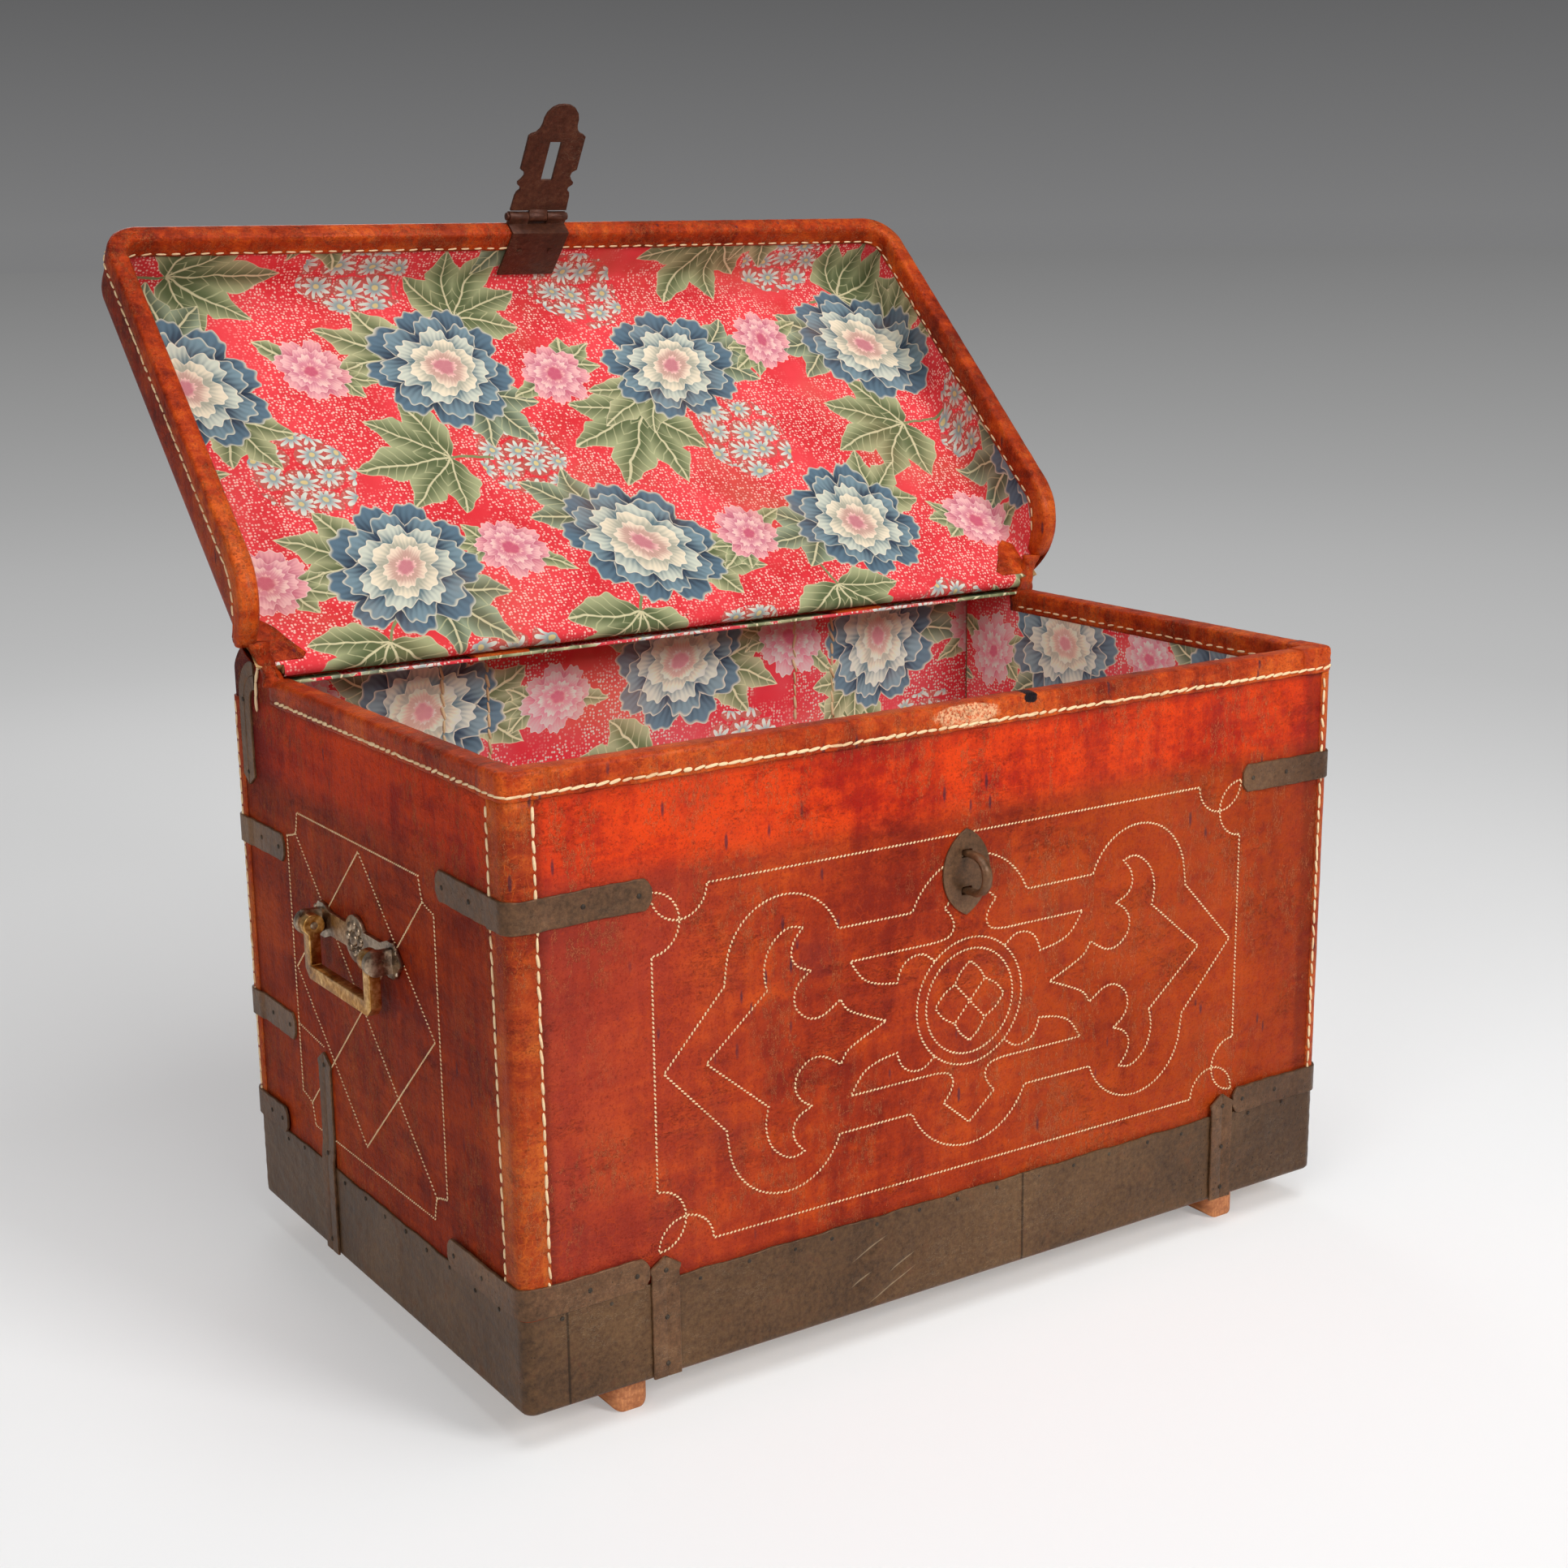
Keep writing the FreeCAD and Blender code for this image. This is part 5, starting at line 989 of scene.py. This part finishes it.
class Print(Finish):
    """The printed cotton: one motif after another is laid over the red ground."""

    def __init__(self, name):
        super().__init__(name)
        self.at = self.node("ShaderNodeUVMap", {"uv_map": "print"})
        wander = self.vector("SUBTRACT", self.noise(34, 2, 0.5, out=1), (0.5, 0.5, 0.5))
        wander = self.vector("MULTIPLY", wander, (0.011, 0.011, 0.0))
        drift = self.vector("MULTIPLY", self.noise(4.3, 1, 0.5, out=1), (0.055, 0.055, 0.0))
        moved = self.vector("ADD", self.at, self.vector("ADD", wander, drift))
        self.u, self.v = self.apart(moved)[:2]

    def repeat(self, pitch, shift, turn, jitter):
        """Where a point lies in its cell of a half-drop repeat, each cell turned by chance."""
        row_at = self.v / pitch[1] + shift[1]
        row = row_at.math("FLOOR")
        column_at = self.u / pitch[0] + shift[0] + row * 0.5
        column = column_at.math("FLOOR")
        cell = self.node("ShaderNodeCombineXYZ", None, (column, row, 0.0))
        chance = self.apart(self.node("ShaderNodeTexWhiteNoise", {"noise_dimensions": "2D"},
                                      {"Vector": cell}, out=1))
        x = (column_at - column - 0.5 + (chance[0] - 0.5) * jitter) * pitch[0]
        y = (row_at - row - 0.5 + (chance[1] - 0.5) * jitter) * pitch[1]
        angle = (chance[2] - 0.5) * turn
        across, up = angle.math("COSINE"), angle.math("SINE")
        return x * across + y * up, y * across - x * up

    def petals(self, x, y, radius, count, turn, notch=0.24, sharp=0.55, frill=0.0):
        """How deep a point lies inside a ring of petals, and how far it is across its petal."""
        reach = (x * x + y * y) ** 0.5
        phase = y.math("ARCTAN2", x) * (count / math.tau) + turn
        across = phase - phase.math("FLOOR") - 0.5
        crown = (across * math.pi).math("COSINE") ** sharp
        outline = crown * (notch * radius) + (1 - notch) * radius
        if frill:
            outline = outline + (across * (math.tau * 3.5)).math("COSINE") * frill
        return outline - reach, across, reach

    def ring(self, x, y, radius, count, turn, deep, pale, edge, frill):
        """A ring of petals, dark at its foot and between petals, with a pale edge."""
        depth, across, reach = self.petals(x, y, radius, count, turn, frill=frill)
        fade = (reach * (1 / radius)).rise(0.45, 1.0) * 0.85 - abs(across) * 0.75 + 0.14
        vein = (across * 44).math("SINE") * 0.10
        colour = self.mix((fade + vein).rise(0, 1), deep, pale)
        colour = self.mix(depth.rise(radius * 0.055, 0.0) * 0.85, colour, edge)
        self.lay(depth.rise(0.0, 0.0005), colour)

    def leaf(self, x, y, heading, start, length, width, deep="#59653F", pale="#A9AE83", lobes=2,
             spread=0.62):
        """A leaf of several veined lobes that fan out from the end of its stalk."""
        turn = math.radians(heading)
        ahead = x * math.cos(turn) + y * math.sin(turn) - start
        aside = y * math.cos(turn) - x * math.sin(turn)
        reach = (ahead * ahead + aside * aside) ** 0.5
        angle = aside.math("ARCTAN2", ahead) / spread
        lobe = angle.math("ROUND").math("MINIMUM", lobes).math("MAXIMUM", -lobes)
        off = (angle - lobe) * spread
        along, across = reach * off.math("COSINE"), abs(reach * off.math("SINE"))
        share = along / (abs(lobe) * (-0.17 * length) + length)
        outline = (share.math("MAXIMUM", 0.0) ** 0.8 * math.pi).math("SINE") * width
        depth = outline * ((share * (math.pi * 7)).math("SINE") * 0.07 + 0.93) - across
        shade = (across / width) * 0.9 + (share - 0.5) * 0.35
        vein = (along - across * 0.85) / 0.0095
        vein = abs(vein - vein.math("FLOOR") - 0.5)
        colour = self.mix(shade.rise(0.0, 0.75), deep, pale)
        colour = self.mix(vein.rise(0.09, 0.03) * 0.5, colour, "#CFCDA0")
        colour = self.mix(across.rise(0.0012, 0.0005) * 0.8, colour, "#E6DDB4")
        colour = self.mix(depth.rise(0.0016, 0.0) * 0.8, colour, "#E9DDB9")
        self.lay(depth.rise(0.0, 0.0005) * ((share > 0.0) * (share < 1.0)), colour)
        stalk = abs(aside + ahead * ahead * 4).rise(0.0016, 0.0009)
        self.lay(stalk * (ahead < 0.0) * (ahead > -0.035), "#7F8A5C")


def printed_cotton(name, painted_light_gamma=1.0, painted_light_gain=1.0):
    """Red cotton with pale dots, daisies, leaves, pink roses and blue-grey peonies; a gamma and a
    gain can paint it lighter.
    """
    cloth = Print(name)
    cloth.colour = cloth.mix(cloth.noise(13, 3).rise(0.35, 0.65), "#DC1E2C", "#F2404A")
    dots = cloth.cells(400, randomness=0.55).rise(0.44, 0.26)
    cloth.lay(dots * cloth.noise(16, 2).rise(0.33, 0.50) * 0.9, "#FACDC2")
    x, y = cloth.repeat(REPEAT, (0.38, 0.81), 6.2, 0.16)
    bunch = ((x * x + y * y) ** 0.5 + cloth.noise(60, 2) * 0.016) < 0.047
    x, y = cloth.repeat((0.0225, 0.0205), (0, 0), 6.0, 0.34)
    depth, part, reach = cloth.petals(x, y, 0.0112, 9, 0.0, notch=0.62, sharp=1.3)
    daisy = cloth.mix((reach * 110).rise(0.15, 1.0), "#8499A0", "#DDE0D6")
    daisy = cloth.mix(reach.rise(0.0028, 0.0018), daisy, "#D8C58A")
    cloth.lay(bunch * (reach < 0.0125) * 0.35, "#6F7F6A")
    cloth.lay(depth.rise(0.0, 0.0004) * bunch, daisy)
    x, y = cloth.repeat(REPEAT, (0.88, 0.81), 6.2, 0.14)
    cloth.leaf(x + 0.036, y, 0, -0.006, 0.092, 0.0200)
    big_x, big_y = cloth.repeat(REPEAT, (0.13, 0.31), 6.2, 0.10)
    cloth.leaf(big_x, big_y, 52, 0.034, 0.066, 0.0170, "#4E5B45", "#9AA78C", 1, 0.70)
    cloth.leaf(big_x, big_y, 205, 0.034, 0.064, 0.0170, "#59653F", "#B4B48A", 1, 0.66)
    x, y = cloth.repeat(REPEAT, (0.63, 0.31), 6.2, 0.16)
    cloth.leaf(x, y, 20, 0.016, 0.036, 0.0095, lobes=1, spread=0.7)
    cloth.leaf(x, y, 215, 0.016, 0.034, 0.0090, lobes=0)
    for petals in ROSE:
        cloth.ring(x, y, *petals, "#F8DAD2", 0.0010)
    for petals in PEONY:
        cloth.ring(big_x, big_y, *petals, 0.0016 if petals[0] > 0.03 else 0.0009)
    weave, weft = [cloth.wave(620, 0.6, wave_type="BANDS", bands_direction=way) for way in "XY"]
    cloth.lay(cloth.noise(9, 4).rise(0.5, 0.75) * 0.22, "#B98A62")
    # Painted light: a gamma and a warm gain lighten the whole print, standing in for a more
    # brightly lit place.
    lit_colour = cloth.node("ShaderNodeGamma", None, (cloth.colour, painted_light_gamma))
    cloth.colour = cloth.mix(1.0, lit_colour, (painted_light_gain, painted_light_gain * 0.97, painted_light_gain * 0.93, 1),
                             "MULTIPLY", clamped=True)
    return cloth.close(0.9, cloth.relief((weave + weft, 0.00012), (cloth.noise(30, 3), 0.0010)))


def cloth_sheet(name, rows, uv, finish, body, replaced=()):
    """A sheet of printed cloth from rows of points, with its print laid flat."""
    rows = np.asarray(rows, float)
    piece = shape(name, rows, loft_faces(*rows.shape[:2], closed=False, caps=False), finish, body,
                  replaced)
    layer = piece.data.uv_layers.new(name="print")
    picked = np.zeros(len(piece.data.loops), int)
    piece.data.loops.foreach_get("vertex_index", picked)
    layer.data.foreach_set("uv", np.asarray(uv, float).reshape(-1, 2)[picked].ravel())
    return piece


cotton = printed_cotton("printed_cotton")
# The body's lining is painted lighter than the lid's, standing in for the light that fills the box.
body_cotton = printed_cotton("body_cotton", 0.84, 1.42)
inner_x, inner_front, inner_back = HALF - WALL_IN, FRONT + WALL_IN, BACK - WALL_IN
left_run = [(-inner_x, y) for y in np.linspace(inner_back - 2 * MM, inner_front + 2 * MM, 60)]
front_run = [(x, inner_front) for x in np.linspace(2 * MM - inner_x, inner_x - 2 * MM, 90)]
plan = np.array(left_run + front_run + [(-x, y) for x, y in left_run[::-1]])
inward = np.repeat([(1, 0), (0, 1), (-1, 0)], [len(left_run), len(front_run), len(left_run)], 0)
round_at = travelled(plan)
wall_rows, wall_uv = [], []
for level in np.linspace(FLOOR_IN, RIM - 1 * MM, 44):
    pucker = ripple(round_at + level * 0.8, 120, 0.35, 81)
    pucker = pucker + ripple(round_at - level, 47, 0.15, 82) + 0.35 * MM
    pucker = pucker * min(1, (level - FLOOR_IN) / (20 * MM))
    level = np.full(len(plan), level)
    wall_rows.append(np.column_stack([plan + inward * pucker[:, None], level]))
    wall_uv.append(np.column_stack([round_at, level]))
wall_sheet = cloth_sheet("wall_lining", wall_rows, wall_uv, body_cotton, "trunk", ("lining_walls",))

strap_edges = [s * STRAP_CENTRE + e * STRAP_HALF * k
               for s in (-1, 1) for e in (-1, 1) for k in (0.8, 0.9, 0.97, 1.03, 1.12)]
back_x = np.unique(np.concatenate([np.linspace(-inner_x, inner_x, 80), strap_edges]))
bend = SHOULDER - SHOULDER_FOOT
back_line = [(inner_back, z, 0, -1) for z in np.linspace(FLOOR_IN, SHOULDER_FOOT, 60)]
back_line += [(BACK - bend + (bend - WALL_IN) * math.cos(t),
               SHOULDER_FOOT + (bend - WALL_IN) * math.sin(t), -math.sin(t), -math.cos(t))
              for t in np.radians(np.linspace(8, 90, 12))]
back_line = np.array(back_line + [(HINGE_Y + y * MM, z * MM, down, 0) for y, z, down in BACK_HEM])
back_at = travelled(back_line[:, :2])
raised = np.max([1 / (1 + np.exp((np.abs(back_x - s * STRAP_CENTRE) - STRAP_HALF) / (1.3 * MM)))
                 for s in (-1, 1)], axis=0)
back_rows, back_uv = [], []
for (y, z, down, ahead), at in zip(back_line, back_at):
    over = 1 / (1 + math.exp(-(z - STRAP_LOW) / (1.5 * MM)))
    wave = (ripple(back_x + z, 90, 0.25, 83) + 0.3 * MM) * (at >= 1 * MM)
    lift = raised * STRAP_RISE * over + wave
    back_rows.append(np.column_stack([back_x, y + ahead * lift, z + down * lift]))
    back_uv.append([(0.9 - x, FLOOR_IN + at) for x in back_x])
back_sheet = cloth_sheet("back_lining", back_rows, back_uv, body_cotton, "trunk", ("lining_walls",))
back_sheet.data.flip_normals()
floor_x, floor_y = np.meshgrid(np.linspace(-inner_x, inner_x, 60),
                               np.linspace(inner_front, inner_back, 40))
floor_z = FLOOR_IN + 0.4 * MM + ripple(floor_x * 1.3 + floor_y, 150, 0.3, 84)
floor_sheet = cloth_sheet("floor_lining", np.dstack([floor_x, floor_y, floor_z]),
                          np.dstack([floor_x, floor_y - 0.4]), body_cotton, "trunk",
                          ("lining_floor",))
strap_seams = [([(s * STRAP_CENTRE + e * 18.5 * MM, inner_back - 2.5 * MM, z) for z in np.linspace(
    STRAP_LOW + 3 * MM, 414 * MM, 12)], (0, -1, 0)) for s in (-1, 1) for e in (-1, 1)]
sew("hinge_strap_stitching", strap_seams, "trunk", (10.5, 2.6, 10.5), 9, 0.10)

# The lid: a shallow cap of boards covered with one hide, drawn down over the rounded edge to a deep
# skirt. Everything here is laid out with the lid shut and then swung open about the hinge line.
LID_HALF, LID_FRONT = HALF + 21.5 * MM, FRONT - 18.5 * MM
LID_RIM, LID_TOP = RIM - 50.5 * MM, RIM + 13 * MM
LID_CORNER, LID_EDGE, HEEL_REACH, OPEN_TURN = 26 * MM, 30 * MM, 45 * MM, math.radians(-136.3)
HEEL_Y, HEEL_Z = HINGE_Y - 13 * MM - HEEL_REACH, LID_RIM + HEEL_REACH


def opened(points):
    """Points of the shut lid swung to the open pose."""
    points = np.asarray(points, float)
    y, z = points[..., 1] - HINGE_Y, points[..., 2] - HINGE_Z
    cos, sin = math.cos(OPEN_TURN), math.sin(OPEN_TURN)
    return np.stack([points[..., 0], HINGE_Y + y * cos - z * sin, HINGE_Z + y * sin + z * cos], -1)


def lid_plan(inset, lean, rear):
    """Points round the lid's plan from its rear left to its rear right, and the ways out."""
    half, front = LID_HALF - inset - lean, LID_FRONT + inset + lean
    bend = max(LID_CORNER - inset - lean, CORNER - inset / 2)
    sides = np.concatenate([np.linspace(0, 0.16, 16)[:-1], np.linspace(0.16, 1, 44)])
    run = [((-half, rear + s * (front + bend - rear)), (-1, 0)) for s in sides]
    run += [((-half + bend + bend * math.cos(t), front + bend + bend * math.sin(t)),
             (math.cos(t), math.sin(t))) for t in np.radians(np.linspace(180, 270, 12))[1:]]
    run += [((x, front), (0, -1)) for x in np.linspace(bend - half, 0, 64)[1:]]
    run += [((-x, y), (-a, b)) for (x, y), (a, b) in run[-2::-1]]
    return np.array([p for p, way in run]), np.array([way for p, way in run])


def lid_skin(inset, top, radius, foot_drop, walls=12, turns=9, rings=16):
    """Rows of a skin of the lid from its edge up the walls, round the edge and over the top, and
    the same rows laid flat."""
    rows, flat = [], []
    rear_low, rear_high = HEEL_Y + HEEL_REACH, HINGE_Y
    plan, ways = lid_plan(inset, radius, rear_high)
    spots = lid_plan(inset, 0, rear_low)[0]
    over = np.clip(spots[:, 1] - HEEL_Y, 0, HEEL_REACH)
    foot = HEEL_Z - np.sqrt(np.clip(HEEL_REACH ** 2 - over ** 2, 0, None)) + foot_drop
    for share in np.arange(walls) / (walls - 1):
        z = foot + (top - radius - foot) * share
        rows.append(np.column_stack([spots, z]))
        flat.append(plan + ways * (top - radius - z + radius * math.pi / 2)[:, None])
    for share in np.arange(1, turns + 1) / turns:
        t = math.pi / 2 * share
        rear = rear_low + (rear_high - rear_low) * share
        spots = lid_plan(inset, radius * (1 - math.cos(t)), rear)[0]
        z = np.full(len(spots), top - radius + radius * math.sin(t))
        rows.append(np.column_stack([spots, z]))
        flat.append(plan + ways * radius * (math.pi / 2 - t))
    span = LID_HALF - inset - radius
    for step in np.arange(1, rings + 1) / rings:
        share = (span - 0.5 * MM) * step ** 1.25 / span
        pulled = np.column_stack([plan[:, 0] * (1 - share),
                                  rear_high + (plan[:, 1] - rear_high) * (1 - share * 0.995)])
        rows.append(np.column_stack([pulled, np.full(len(pulled), top)]))
        flat.append(pulled)
    return np.array(rows), np.array(flat)


lid_rows = lid_skin(0, LID_TOP, LID_EDGE, 0)[0]
lid_cover = shape("lid_hide_cover", opened(lid_rows),
                  loft_faces(*lid_rows.shape[:2], closed=False, caps=False), lid_hide, "lid",
                  ("lid_leather",))
lid_cover.data.flip_normals()

# Lining of the lid: the same cotton, glued inside and rolled over the rear edge of the board, where
# it hides the tack heads. It ends under the binding.
PRINT_SHIFT, ROLL, ROLL_HALF = (0.05, 0.02), 5 * MM, 321.5
lining_rows, lining_flat = lid_skin(11 * MM, LID_TOP - 10 * MM, 10 * MM, 6 * MM)
flat_x, flat_y = lining_flat[..., 0], lining_flat[..., 1]
sag = ripple(flat_x + 0.4 * flat_y, 170, 0.5, 91)
sag = sag + ripple(flat_y * 1.1 - 0.3 * flat_x, 110, 0.4, 92) + 0.9 * MM
for height, reach in ((lining_rows[..., 2] - (LID_TOP - 20 * MM), 10),
                      (HALF - 22 * MM - np.abs(lining_rows[..., 0]), 30),
                      (lining_rows[..., 1] - FRONT - 22 * MM, 30),
                      (HINGE_Y - lining_rows[..., 1], 20)):
    sag = sag * np.clip(height / (reach * MM), 0, 1)
lining_rows[..., 2] -= sag
lid_cloth = cloth_sheet("lid_cloth", opened(lining_rows), lining_flat + PRINT_SHIFT, cotton, "lid",
                        ("lid_lining",))
roll_x = np.linspace(-ROLL_HALF, ROLL_HALF, 110) * MM
swell = ROLL + 0.35 * MM + ripple(roll_x, 80, 0.18, 93)
roll_rows, roll_flat = [], []
for t in np.radians(-90 + 200 * np.arange(15) / 14):
    roll_rows.append(np.column_stack([roll_x, HINGE_Y + swell * math.cos(t),
                                      HINGE_Z + swell * math.sin(t)]))
    rolled = np.full(len(roll_x), HINGE_Y + ROLL * (t + math.pi / 2))
    roll_flat.append(np.column_stack([roll_x, rolled]) + PRINT_SHIFT)
lid_roll = cloth_sheet("lid_roll", opened(roll_rows), roll_flat, cotton, "lid")

# Binding of the lid: leather folded over the skirt's edge and up over both heels, sewn through with
# the same cord. Its inner side hides the edge of the printed lining.
LID_FOLD = ((0.1, 16), (0.9, 16.1), (1.4, 15.3), (1.55, 14.2), (1.0, 13.2), (1.6, 12), (1.95, 7.5),
            (1.6, 5), (1.85, 2), (1.3, -0.4), (-0.4, -1.5), (-5.5, -1.9), (-10.4, -1.5),
            (-12.3, -0.3), (-12.9, 3), (-13.0, 9), (-12.4, 12.4), (-12.95, 13.8), (-12.6, 16),
            (-11.1, 16), (-11.0, 0.1), (0.0, 0.1))
LID_SEAMS = (("lid_inner_stitching", -13.1, 13.4, (7.4, 1.7, 11.2), 3, 0.03),
             ("lid_outer_stitching", 1.7, 13.2, (8.4, 2.0, 9.2), 6, 0.05))
LID_WAVY, LID_HEMS, NECK_REACH, SEAM_SKIP = 19, (0, 1, 2, 3, 16, 17, 18), 26 * MM, 4


def lid_edge():
    """The lid's edge from heel to heel: its points, the ways out and the ways into the wall."""
    run = [((-LID_HALF, HEEL_Y + HEEL_REACH * math.cos(a), HEEL_Z + HEEL_REACH * math.sin(a)),
            (-1, 0, 0), (0, -math.cos(a), -math.sin(a)))
           for a in np.radians(np.linspace(0, -90, 16))]
    run += [((-LID_HALF, y, LID_RIM), (-1, 0, 0), (0, 0, 1))
            for y in np.linspace(HEEL_Y, LID_FRONT + LID_CORNER, 62)[1:]]
    run += [((-LID_HALF + LID_CORNER * (1 + math.cos(t)),
              LID_FRONT + LID_CORNER * (1 + math.sin(t)), LID_RIM),
             (math.cos(t), math.sin(t), 0), (0, 0, 1))
            for t in np.radians(np.linspace(180, 270, 12))[1:]]
    run += [((x, LID_FRONT, LID_RIM), (0, -1, 0), (0, 0, 1))
            for x in np.linspace(LID_CORNER - LID_HALF, 0, 64)[1:]]
    run += [((-p[0], p[1], p[2]), (-w[0], w[1], w[2]), v) for p, w, v in run[-2::-1]]
    return [np.array(part, float) for part in zip(*run)]


def lid_seam(offset, height):
    """A seam along the lid's edge, in the open pose."""
    line = opened(edge_points + edge_out * offset + edge_in * (height * narrow)[:, None])
    ways = opened(edge_out + [0, HINGE_Y, HINGE_Z]) - [0, HINGE_Y, HINGE_Z]
    line, ways = line[SEAM_SKIP:-SEAM_SKIP], ways[SEAM_SKIP:-SEAM_SKIP] * (1 if offset > 0 else -1)
    return line, lambda at: np.array([ways[np.argmin(((line - p) ** 2).sum(1))] for p in at])


edge_points, edge_out, edge_in = lid_edge()
edge_at = travelled(edge_points)
from_neck = np.minimum(edge_at, edge_at[-1] - edge_at)
narrow = 0.55 + 0.45 * np.clip(from_neck / NECK_REACH, 0, 1)
edge_rings = []
for k, (o, h) in enumerate(LID_FOLD):
    wave = ripple(edge_at, *FOLD_WAVE, 111 + k) * (k < LID_WAVY and o > 0)
    hem = ripple(edge_at, *HEM_WAVE, 7) * (k in LID_HEMS)
    edge_rings.append(edge_points + edge_out * (o * MM + wave)[:, None]
                      + edge_in * (h * MM * (narrow if h > 0 else 1) + hem)[:, None])
shape("lid_fold", opened(np.stack(edge_rings, 1)), loft_faces(len(edge_points), len(LID_FOLD)),
      binding_hide, "lid", ("lid_rim_binding",))
for name, offset, height, stitch, slant, loose in LID_SEAMS:
    sew(name, [lid_seam(offset * MM, height * MM)], "lid", stitch, slant, loose)

# Hide necks tie the lid's heels to the rim at each end of the hinge, with a gusset over the lining.
# Beside each shoulder iron a thick cream cord runs up over the shoulder.
NECK_STEPS, NECK_ROUND, NECK_WIDE, NECK_DEEP = 15, 16, 8.5, 6.0
GUSSET = np.array([(338.5, 55), (338.5, 40), (336, 24), (326, 18), (318, 25), (311, 37), (302, 50),
                   (306, 55)])
GUSSET_MIDDLE, GUSSET_LAYERS = np.array([325, 42]), ((0, 9.9), (0.06, 10.7), (0.55, 10.9))
CORD = ((47, 372), (47.5, 384), (50, 395), (55, 403), (62, 408.5), (70, 411))
for side, hand in SIDES:
    rings = []
    for s in np.arange(NECK_STEPS) / (NECK_STEPS - 1):
        x, y = side * (HALF + (11 * s - 3) * MM), HINGE_Y + (3 * s - 2) * MM
        z = RIM + (31 * s - 3) * MM
        t = np.arange(NECK_ROUND) * math.tau / NECK_ROUND
        lump = 1 + 0.10 * np.sin(3 * t + 9 * s + side) + 0.07 * np.sin(5 * t - 17 * s)
        size = (1 - 0.32 * math.sin(math.pi * s)) * lump * MM
        rings.append(np.column_stack([x + NECK_WIDE * size * np.cos(t),
                                      y + NECK_DEEP * size * np.sin(t), z + 0 * t]))
    neck = shape("neck_" + hand, rings, loft_faces(NECK_STEPS, NECK_ROUND), binding_hide, None)
    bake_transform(neck)
    layers = [[(side * x * MM, y * MM, LID_TOP - depth * MM)
               for x, y in GUSSET + (GUSSET_MIDDLE - GUSSET) * share]
              for share, depth in GUSSET_LAYERS]
    shape("gusset_" + hand, opened(layers), loft_faces(len(layers), len(GUSSET)), binding_hide,
          "lid")
for side, hand in SIDES:
    cord = [(side * (HALF + 1.2 * MM), BACK - u * MM, UNDERSIDE + v * MM) for u, v in CORD]
    sew("neck_thread_" + hand, [(cord, (side, 0, 0))], "trunk", (11.5, 3.0, 9.2), 4)

# Hasp: a leaf riveted over the lid's edge, a pin, and a swinging plate whose slot takes the staple.
# All are forged from thin iron, and the plate's outline is filed to a row of curves.
HASP_SHEET, HASP_EASE = 2.5 * MM, 0.35 * MM
KNUCKLE, KNUCKLE_HALF, KNUCKLE_TAIL = 4.2 * MM, 8 * MM, 7 * MM
HASP_SLOT = ((5, 33.5), (5, 67.5), (-5, 67.5), (-5, 33.5))
HASP_HALF = ((0, 6), (25, 6), (24.4, 19), (23.4, 22.6), (21.2, 24.6), (21.3, 27), (24.4, 29.4),
             (24.8, 31.4), (22.4, 34), (20.4, 37.4), (21.2, 40.6), (25, 43), (25, 72.4),
             (22.6, 74.2), (19, 75.6), (16.4, 78.6), (15.2, 82.6), (15.0, 87.6), (13.4, 92.6),
             (9.6, 97.2), (4.8, 99.5), (0, 100))
hasp_iron = iron("hasp_iron", "#341A10", "#4B281A", "#66402C", "#5C301A", 0.34)
for node, edge in (("hasp_leaf", 0.4), ("hasp_pin", 0.5), ("hasp_rivets", 0.5)):
    softened(node, edge * MM, hasp_iron, "lid")
axle = joint_place("hasp_hinge")
reaches = np.array([v.co for v in frame["nodes"]["hasp_plate"].data.vertices]) - axle
lengths = np.linalg.norm(reaches[:, 1:], axis=1)
along = reaches[lengths > lengths.max() - 0.05 * MM].mean(0) * [0, 1, 1]
along /= np.linalg.norm(along)
out = np.array([0, -along[2], along[1]])
curve = bpy.data.curves.new("hasp_outline", "CURVE")
curve.dimensions, curve.fill_mode = "2D", "BOTH"
curve.extrude, curve.bevel_depth = HASP_SHEET / 2 - HASP_EASE, HASP_EASE
curve.offset, curve.bevel_resolution = -HASP_EASE, 1
for line in (HASP_HALF + tuple((-u, v) for u, v in HASP_HALF[-2:0:-1]), HASP_SLOT):
    spline = curve.splines.new("POLY")
    spline.points.add(len(line) - 1)
    spline.use_cyclic_u = True
    for point, (u, v) in zip(spline.points, line):
        point.co = (u * MM, v * MM, 0, 1)
outline = linked("hasp_outline", curve)
bpy.context.view_layer.update()
flat = bpy.data.meshes.new_from_object(
    outline.evaluated_get(bpy.context.evaluated_depsgraph_get()))
bpy.data.objects.remove(outline)
points = np.array([v.co for v in flat.vertices])
plate = shape("hasp_forged", axle + points @ np.array([(1, 0, 0), along, out]),
              [tuple(p.vertices) for p in flat.polygons], hasp_iron, "hasp",
              ("hasp_plate",))
plate.data.set_sharp_from_angle(angle=math.radians(40))
section = arc((0, 0), KNUCKLE, 20, 340, 21)
section += [(KNUCKLE_TAIL, -HASP_SHEET / 2), (KNUCKLE_TAIL, HASP_SHEET / 2)]
knuckle = [[axle + [x, 0, 0] + along * u * ease + out * v * ease for u, v in section]
           for x, ease in ((-KNUCKLE_HALF, 0.93), (HASP_EASE - KNUCKLE_HALF, 1),
                           (KNUCKLE_HALF - HASP_EASE, 1), (KNUCKLE_HALF, 0.93))]
shape("hasp_knuckle", knuckle, loft_faces(4, len(section)), hasp_iron, "hasp")
